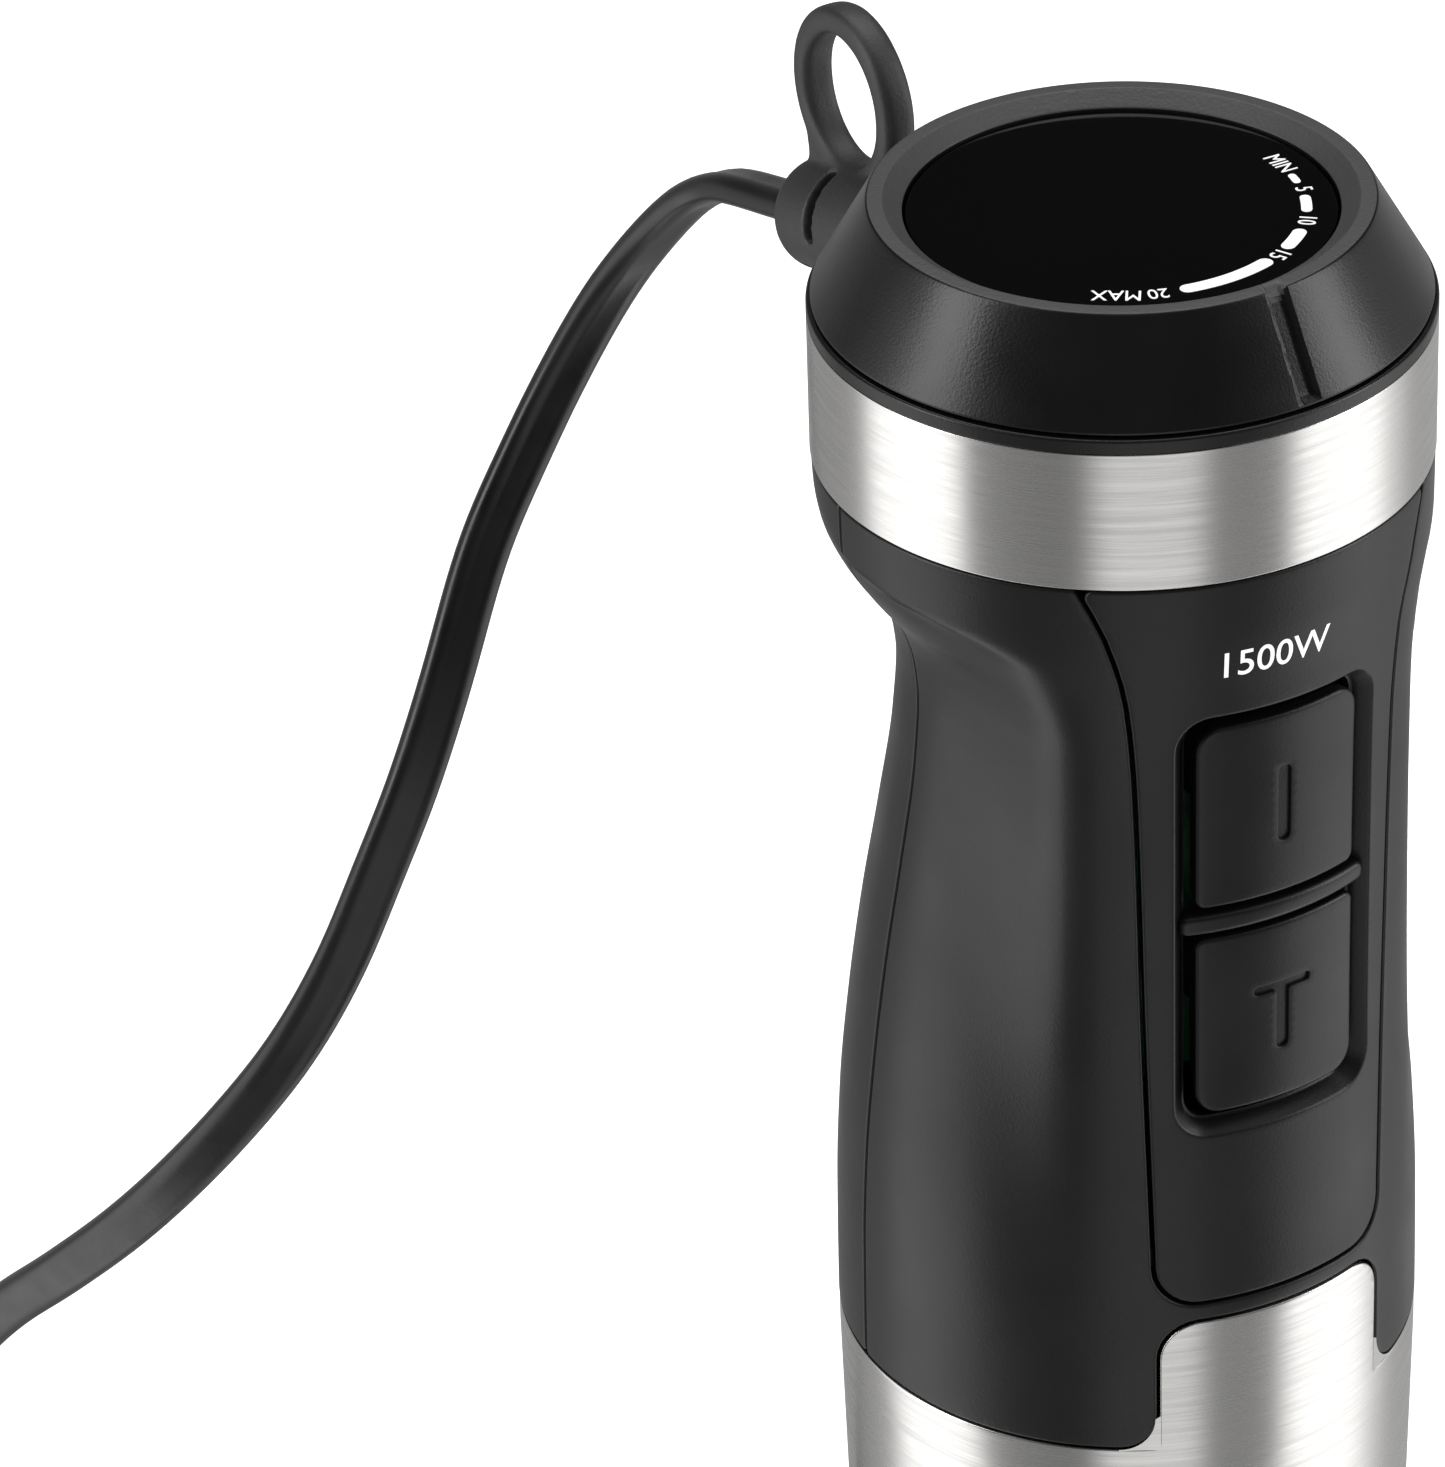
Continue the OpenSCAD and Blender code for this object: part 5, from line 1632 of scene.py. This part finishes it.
    def build(self, plug: list[bpy.types.Object]) -> bpy.types.Object:
        """Args:
            plug: The pieces on the cord's end; not used.

        Returns:
            The cord.
        """
        line = self.line()
        step = np.concatenate([[0], np.cumsum(np.linalg.norm(np.diff(line, axis=0), axis=1))])
        count = int(step[-1] / self.pitch)
        even = np.linspace(0, step[-1], count)
        line = np.column_stack([np.interp(even, step, line[:, k]) for k in range(3)])
        for _ in range(2):
            line[1:-1] = (line[:-2] + 2 * line[1:-1] + line[2:]) / 4
        drop = line_length(smooth_line(np.array(self.route, float)))
        ahead = np.gradient(line, axis=0)
        ahead /= np.linalg.norm(ahead, axis=1)[:, None]
        to_plug = np.clip((even - even[-1] + self.twist_mm) / self.twist_mm, 0, 1)
        side = self.wide_side(np.clip(even / drop, 0, 1), to_plug * 0.97)
        side -= np.sum(side * ahead, axis=1)[:, None] * ahead
        side /= np.linalg.norm(side, axis=1)[:, None]
        over = np.cross(side, ahead)
        shape = self.section()
        n = len(shape)
        points = line[:, None] + side[:, None] * shape[None, :, :1] + over[:, None] * shape[None, :, 1:]
        faces = [[i * n + k, i * n + (k + 1) % n, (i + 1) * n + (k + 1) % n, (i + 1) * n + k]
                 for i in range(count - 1) for k in range(n)]
        faces += [list(range(n - 1, -1, -1)), list(range((count - 1) * n, count * n))]
        cord = make_mesh("mains_cord", points.reshape(-1, 3), faces, CORD_VINYL)
        outward_faces(cord)
        hand_over(cord, "base", Slot.RUBBER, ["power_cord", "cord_coil", "cord_tail"])
        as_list(plug)
        return cord


def outward_faces(piece: bpy.types.Object) -> bpy.types.Object:
    """Turns all faces of a closed piece outwards."""
    bm = bmesh.new()
    bm.from_mesh(piece.data)
    bmesh.ops.recalc_face_normals(bm, faces=bm.faces)
    bm.to_mesh(piece.data)
    bm.free()
    return piece


@dataclass
class Plug:
    """Round two-pin plug with finger flats, lying on its side."""

    cord: MainsCord
    middle_z: float = 18.0
    face_y: float = 203.0
    rear_y: float = 243.9
    pin_half_gap: float = 9.5

    def stand(self, x: float = 0.0) -> Matrix:
        """Turns a piece made along Z so that it points back along the cord's tail."""
        axis_x = self.cord.coil_mid[0] + self.cord.outer_turn
        mid = Vector((*self.cord.coil_mid, 0.0))
        swing = (Matrix.Translation(mid) @ Matrix.Rotation(math.radians(self.cord.tail_deg), 4, "Z")
                 @ Matrix.Translation(-mid))
        return (swing @ Matrix.Translation((axis_x + x, self.face_y, self.middle_z))
                @ Matrix.Rotation(-math.pi / 2, 4, "X"))

    def body(self) -> bpy.types.Object:
        """Moulded body: a round front flange, waisted sides and a collar round the cord."""
        rear = self.rear_y - self.face_y
        outline = rounded([(0, 0, 0), (17.9, 0, 0.9), (17.9, 7.4, 0.9), (16.3, 8.3, 1.5), (13.4, 12, 3),
                           (11.9, 22, 4), (9.0, 26.8, 2), (6.2, 29.4, 1.5), (4.6, rear - 1, 0.8),
                           (3.9, rear, 0.3), (0, rear, 0)], closed=False)
        fine = spread(outline, 0.9, closed=False)
        segments = 112
        turns = np.linspace(0, 2 * np.pi, segments, endpoint=False)
        points, rings = [], []
        for r, z in fine:
            if r < 1e-6:
                rings.append(np.full(segments, len(points)))
                points.append((0.0, 0.0, z))
                continue
            rings.append(np.arange(len(points), len(points) + segments))
            hold = np.interp(z, [0, 8.5, 12, 26, 30, 60], [0, 0, 1, 1, 0, 0])
            flat = 1 - 0.2 * hold * np.abs(np.cos(turns)) ** 3
            rib = 0.35 * hold * np.clip(np.sin(z * 2 * math.pi / 2.6), 0, 1) * (np.abs(np.cos(turns)) > 0.75)
            for a, f, w in zip(turns, flat, rib):
                points.append(((r * f + w) * math.cos(a), r * math.sin(a), z))
        placed = stood(np.array(points), self.stand())
        piece = outward_faces(make_mesh("mains_plug", placed, band_faces(rings), PLUG_VINYL))
        return hand_over(piece, "base", Slot.RUBBER, ["plug_body"])

    def pins(self) -> bpy.types.Object:
        """The two round pins, nickel plated, with rounded tips."""
        made = []
        for side in (-1, 1):
            outline = rounded([(0, -19, 0), (1.4, -19, 0.6), (2.4, -17.9, 0.6), (2.4, 0.3, 0.0), (0, 0.3, 0)],
                              closed=False)
            made.append(turned(f"pin_{side}", outline, NICKEL_PLATE, segments=40,
                               place=self.stand(side * self.pin_half_gap)))
        first, second = made
        with bpy.context.temp_override(active_object=first, selected_editable_objects=made):
            bpy.ops.object.join()
        first.name = "mains_plug_pins"
        return hand_over(outward_faces(first), "base", Slot.NICKEL, ["plug_pins"])

    def build(self) -> list[bpy.types.Object]:
        """Makes the plug."""
        return [self.body(), self.pins()]


@dataclass
class HangingBoot:
    """Bend protection sleeve of the cord with the hanging loop moulded on top."""

    pivot: tuple[float, float, float] = (0.0, 33.0, 380.7)
    dip_deg: float = 15.0
    loop_y: float = 55.9
    loop_z: float = 389.6
    loop_in: float = 7.45
    loop_out: float = 10.45
    loop_t: float = 4.2
    loop_x: float = 0.4
    slot_r: float = 7.1
    slot_deep: float = 5.0
    slot_gap: float = 1.7

    def place(self) -> Matrix:
        """Turns a piece made along Z onto the boot's axis, with local Y on its lower side."""
        return Matrix.Translation(self.pivot) @ Matrix.Rotation(math.radians(-90 - self.dip_deg), 4, "X")

    def sleeve(self) -> bpy.types.Object:
        """Flange, neck and tapered body."""
        outline = rounded([(0, -9.3, 0), (7.0, -9.3, 0.3), (7.0, -6.7, 0.3), (5.8, -6.7, 0.0),
                           (5.8, 2.1, 0.4), (6.95, 2.1, 0.8), (6.45, 31.6, 1.7), (0, 31.6, 0)],
                          closed=False)
        return turned("boot_sleeve", spread(outline, 1.2, closed=False), RELIEF_VINYL, segments=96,
                      place=self.place())

    def ring(self) -> bpy.types.Object:
        """The loop: a flat ring with rounded edges, standing in the plane of the cord."""
        h = self.loop_t / 2
        outline = rounded([(self.loop_in, -h, 1.0), (self.loop_out + 0.15, -h, 1.25),
                           (self.loop_out + 0.15, h, 1.25), (self.loop_in, h, 1.0)])
        stand = (Matrix.Translation((self.loop_x, self.loop_y, self.loop_z))
                 @ Matrix.Rotation(math.pi / 2, 4, "Y"))
        return turned("boot_ring", outline, RELIEF_VINYL, segments=128, place=stand)

    def web(self) -> bpy.types.Object:
        """Wedge that ties the loop to the sleeve."""
        y = self.loop_y
        outline = rounded([(y - 9.5, 374.5, 0), (y + 6.4, 372.0, 0), (y + 7.7, 383.5, 0.4), (y, 381.4, 5.0),
                           (y - 8.6, 384.0, 0.4)])
        flat = spread(outline, 0.8)
        half = self.loop_t / 2 - 0.1
        points, faces = slab(flat, self.loop_x - half, self.loop_x + half)
        return outward_faces(make_mesh("boot_web", points[:, [2, 0, 1]], faces, RELIEF_VINYL))

    def slots(self) -> bpy.types.Object:
        """Cutter for the bending slots: two under the sleeve and two on each side of it."""
        bm = bmesh.new()
        local = self.place()
        under = [(90.0, along, 16.0) for along in (16.8, 28.3)]
        sides = [(turn, 22.5, 5.2) for turn in (-17.0, -48.0, -163.0, -132.0)]
        for turn, along, width in under + sides:
            block = bmesh.ops.create_cube(bm, size=1.0)["verts"]
            bmesh.ops.transform(bm, verts=block, matrix=local @ Matrix.Rotation(math.radians(turn), 4, "Z")
                                @ Matrix.Translation((self.slot_r, 0, along))
                                @ Matrix.Diagonal((self.slot_deep, width, self.slot_gap, 1.0)))
        mesh = bpy.data.meshes.new("boot_cutter")
        bm.to_mesh(mesh)
        bm.free()
        mesh.transform(Matrix.Scale(MM, 4))
        cutter = bpy.data.objects.new("boot_cutter", mesh)
        bpy.context.scene.collection.objects.link(cutter)
        return cutter

    @staticmethod
    def remould(piece: bpy.types.Object, grid_mm: float, rounds: int) -> None:
        """Makes one even skin of a piece and softens its edges.

        Args:
            piece: The piece.
            grid_mm: Spacing of the new skin.
            rounds: How often it is smoothed.
        """
        grid = piece.modifiers.new("remesh", "REMESH")
        grid.mode, grid.voxel_size = "VOXEL", grid_mm * MM
        ease = piece.modifiers.new("smooth", "SMOOTH")
        ease.factor, ease.iterations = 0.5, rounds
        settle(piece)

    def build(self) -> bpy.types.Object:
        """Fuses the parts, cuts the slots and softens every edge as a moulding has it."""
        parts = [self.sleeve(), self.ring(), self.web()]
        with bpy.context.temp_override(active_object=parts[0], selected_editable_objects=parts):
            bpy.ops.object.join()
        boot = parts[0]
        boot.name = "cord_boot_with_loop"
        self.remould(boot, 0.36, 7)
        cutter = self.slots()
        cut = boot.modifiers.new("slots", "BOOLEAN")
        cut.operation, cut.solver, cut.object = "DIFFERENCE", "EXACT", cutter
        cut.use_self = True
        settle(boot)
        self.remould(boot, 0.34, 3)
        bpy.data.objects.remove(cutter)
        if len(boot.data.polygons) < 10000:
            raise ValueError("the cord boot lost its shape when its slots were cut")
        boot.data.materials.clear()
        boot.data.materials.append(RELIEF_VINYL.material())
        boot.data.shade_smooth()
        return hand_over(boot, "base", Slot.RUBBER, ["strain_relief"])


# ---------------------------------------------------------------- the studio


@dataclass
class Studio:
    """Camera, pale floor, soft boxes and surroundings."""

    camera_at: tuple[float, float, float] = (-0.3765370, -0.6025851, 0.7640791)
    heading_deg: float = 28.512
    pitch_deg: float = -30.975
    roll_deg: float = -2.055
    lens_mm: float = 188.49
    wall_levels: Sequence[Point2] = (
        (-180, 0.20), (-144, 0.22), (-131, 0.95), (-98, 0.95), (-88, 0.16), (-50, 0.14), (-36, 0.52),
        (-8, 0.52), (4, 0.17), (27, 0.15), (40, 0.95), (72, 0.95), (82, 0.50), (100, 0.26), (180, 0.20))
    height_levels: Sequence[Point2] = ((-1.0, 1.0), (-0.05, 1.0), (0.15, 0.40), (0.40, 0.05), (0.70, 0.05),
                                       (0.84, 0.5), (1.0, 0.5))

    @staticmethod
    def ramp(tree: bpy.types.NodeTree, share: bpy.types.NodeSocket, levels: Sequence[Point2]
             ) -> bpy.types.NodeSocket:
        """Adds a grey ramp.

        Args:
            tree: The node tree.
            share: What the ramp follows, from 0 to 1.
            levels: Position and brightness of each stop.

        Returns:
            The ramp's brightness.
        """
        node = add_node(tree, "ShaderNodeValToRGB", {"Fac": share})
        stops = node.color_ramp.elements
        for stop, (at, level) in zip([stops[0], stops[1]], (levels[0], levels[-1])):
            stop.position, stop.color = at, (level, level, level, 1.0)
        for at, level in levels[1:-1]:
            stops.new(at).color = (level, level, level, 1.0)
        node.color_ramp.interpolation = "EASE"
        return node.outputs["Color"]

    def camera(self) -> None:
        """Makes the camera and sets it on the scene."""
        data = bpy.data.cameras.new("camera")
        data.lens, data.sensor_width, data.clip_start, data.clip_end = self.lens_mm, 36.0, 0.01, 50.0
        camera = bpy.data.objects.new("camera", data)
        turn = (Matrix.Rotation(math.radians(-self.heading_deg), 4, "Z")
                @ Matrix.Rotation(math.radians(90 + self.pitch_deg), 4, "X")
                @ Matrix.Rotation(math.radians(self.roll_deg), 4, "Z"))
        camera.matrix_world = Matrix.Translation(self.camera_at) @ turn
        bpy.context.scene.collection.objects.link(camera)
        bpy.context.scene.camera = camera

    def floor(self) -> None:
        """Pale paper floor that curves up far behind."""
        bm = bmesh.new()
        reach, back, bend, wall_top = 6.0, 3.0, 1.2, 4.0
        profile = [(-reach, 0.0), (back, 0.0)]
        profile += [(back + bend * math.sin(a), bend - bend * math.cos(a))
                    for a in np.linspace(0.1, math.pi / 2, 12)]
        profile.append((back + bend, wall_top))
        rows = [[bm.verts.new((x, y, z)) for y, z in profile] for x in (-reach, reach)]
        for i in range(len(profile) - 1):
            bm.faces.new((rows[0][i], rows[1][i], rows[1][i + 1], rows[0][i + 1]))
        mesh = bpy.data.meshes.new("paper_floor")
        bm.to_mesh(mesh)
        bm.free()
        mesh.shade_smooth()
        paper = bpy.data.materials.new("matt_white_paper")
        paper.use_nodes = True
        tree = paper.node_tree
        tree.nodes.clear()
        place = add_node(tree, "ShaderNodeTexCoord").outputs["Object"]
        fibre = add_node(tree, "ShaderNodeTexNoise", {"Vector": place, "Scale": 900.0, "Detail": 2.0})
        bump = add_node(tree, "ShaderNodeBump", {"Height": fibre.outputs["Fac"], "Strength": 0.03,
                                                 "Distance": 0.0002})
        shader = add_node(tree, "ShaderNodeBsdfPrincipled", {"Base Color": linear("fdfdfd"),
                                                             "Roughness": 0.95, "Specular IOR Level": 0.1,
                                                             "Normal": bump.outputs["Normal"]})
        add_node(tree, "ShaderNodeOutputMaterial", {"Surface": shader.outputs["BSDF"]})
        mesh.materials.append(paper)
        floor = bpy.data.objects.new("paper_floor", mesh)
        bpy.context.scene.collection.objects.link(floor)
        floor.visible_glossy = False

    def soft_box(self, name: str, azimuth_deg: float, elevation_deg: float, distance: float,
                 size: Point2, watts: float, mirrored: bool = True, aim_z: float = 0.34) -> None:
        """Adds one soft box that faces the blender.

        Args:
            name: Name of the light.
            azimuth_deg: Where it stands, from the front towards +X.
            elevation_deg: How high it stands.
            distance: Distance in metres.
            size: Width and height in metres.
            watts: Power.
            mirrored: Whether it shows in glossy surfaces.
            aim_z: Height it is aimed at, in metres.
        """
        light = bpy.data.lights.new(name, "AREA")
        light.shape, light.size, light.size_y, light.energy = "RECTANGLE", size[0], size[1], watts
        a, e = math.radians(azimuth_deg), math.radians(elevation_deg)
        away = Vector((math.sin(a) * math.cos(e), -math.cos(a) * math.cos(e), math.sin(e)))
        holder = bpy.data.objects.new(name, light)
        turn = away.to_track_quat("Z", "Y").to_matrix().to_4x4()
        holder.matrix_world = Matrix.Translation(Vector((0, 0, aim_z)) + away * distance) @ turn
        bpy.context.scene.collection.objects.link(holder)
        holder.visible_glossy = mirrored

    def lights(self) -> None:
        """Tall strips at both sides, a softer one in front and a broad one overhead."""
        self.soft_box("left_strip", -106, 24, 1.3, (0.5, 0.9), 9)
        self.soft_box("right_strip", 57, 24, 1.3, (0.5, 0.9), 8)
        self.soft_box("front_strip", -18, 20, 1.9, (0.42, 1.2), 8, mirrored=False)
        self.soft_box("overhead", 150, 66, 1.7, (1.2, 1.0), 14, aim_z=0.2)

    def surroundings(self) -> None:
        """White paper all round for the floor; a dim room for reflections."""
        world = bpy.data.worlds.new("studio_room")
        world.use_nodes = True
        tree = world.node_tree
        tree.nodes.clear()
        rays = add_node(tree, "ShaderNodeLightPath")
        place = add_node(tree, "ShaderNodeTexCoord").outputs["Generated"]
        split = add_node(tree, "ShaderNodeSeparateXYZ", {"Vector": place})
        front = add_node(tree, "ShaderNodeMath", {0: split.outputs["Y"], 1: -1.0}, operation="MULTIPLY")
        round_about = add_node(tree, "ShaderNodeMath", {0: split.outputs["X"], 1: front.outputs[0]},
                               operation="ARCTAN2")
        share = add_node(tree, "ShaderNodeMapRange", {"Value": round_about.outputs[0], "From Min": -math.pi,
                                                      "From Max": math.pi})
        walls = self.ramp(tree, share.outputs["Result"], [((deg + 180) / 360, level)
                                                          for deg, level in self.wall_levels])
        level_of_height = add_node(tree, "ShaderNodeMapRange", {"Value": split.outputs["Z"],
                                                                "From Min": -1.0})
        heights = self.ramp(tree, level_of_height.outputs["Result"], [((z + 1) / 2, level)
                                                                      for z, level in self.height_levels])
        dim = add_node(tree, "ShaderNodeMath", {0: walls, 1: heights}, operation="MULTIPLY")
        bright = add_node(tree, "ShaderNodeMath", {0: dim.outputs[0], 1: 2.0}, operation="MULTIPLY")
        room = add_node(tree, "ShaderNodeBackground", {"Color": (1, 1, 1, 1), "Strength": bright.outputs[0]})
        open_sky = add_node(tree, "ShaderNodeBackground", {"Color": (1, 1, 1, 1), "Strength": 0.92})
        mixed = add_node(tree, "ShaderNodeMixShader", {0: rays.outputs["Is Glossy Ray"]})
        tree.links.new(open_sky.outputs[0], mixed.inputs[1])
        tree.links.new(room.outputs[0], mixed.inputs[2])
        add_node(tree, "ShaderNodeOutputWorld", {"Surface": mixed.outputs[0]})
        world.cycles.sampling_method = "NONE"
        scene = bpy.context.scene
        scene.world = world
        scene.view_settings.view_transform = "Standard"
        scene.view_settings.look = "None"

    def build(self) -> None:
        """Makes the whole studio."""
        self.camera()
        self.floor()
        self.lights()
        self.surroundings()


def clear_start_up() -> None:
    """Removes the objects that an empty Blender file starts with."""
    for name in ("Cube", "Light", "Camera"):
        found = bpy.data.objects.get(name)
        if found:
            bpy.data.objects.remove(found)


def dress_inner_parts() -> None:
    """Gives every part that keeps its CAD shape its finish."""
    for finish, names in NODE_FINISHES.items():
        for name in names:
            node = bpy.data.objects[name]
            if not node.material_slots:
                raise LookupError(f"{name} has no material slot")
            for material_slot in node.material_slots:
                material_slot.material = finish.material()
            log.info("%s: %s", name, finish.name)


def main() -> None:
    """Builds the blender round its frame."""
    logging.basicConfig(level=logging.INFO, format="%(name)s: %(message)s")
    clear_start_up()
    Studio().build()
    cord = MainsCord()
    cord.build(Plug(cord).build())
    HangingBoot().build()
    SpeedDial().build()
    GripHousing().build()
    LowerUnit().build()
    BlendingFoot().build()
    dress_inner_parts()


if __name__ == "__main__":
    main()
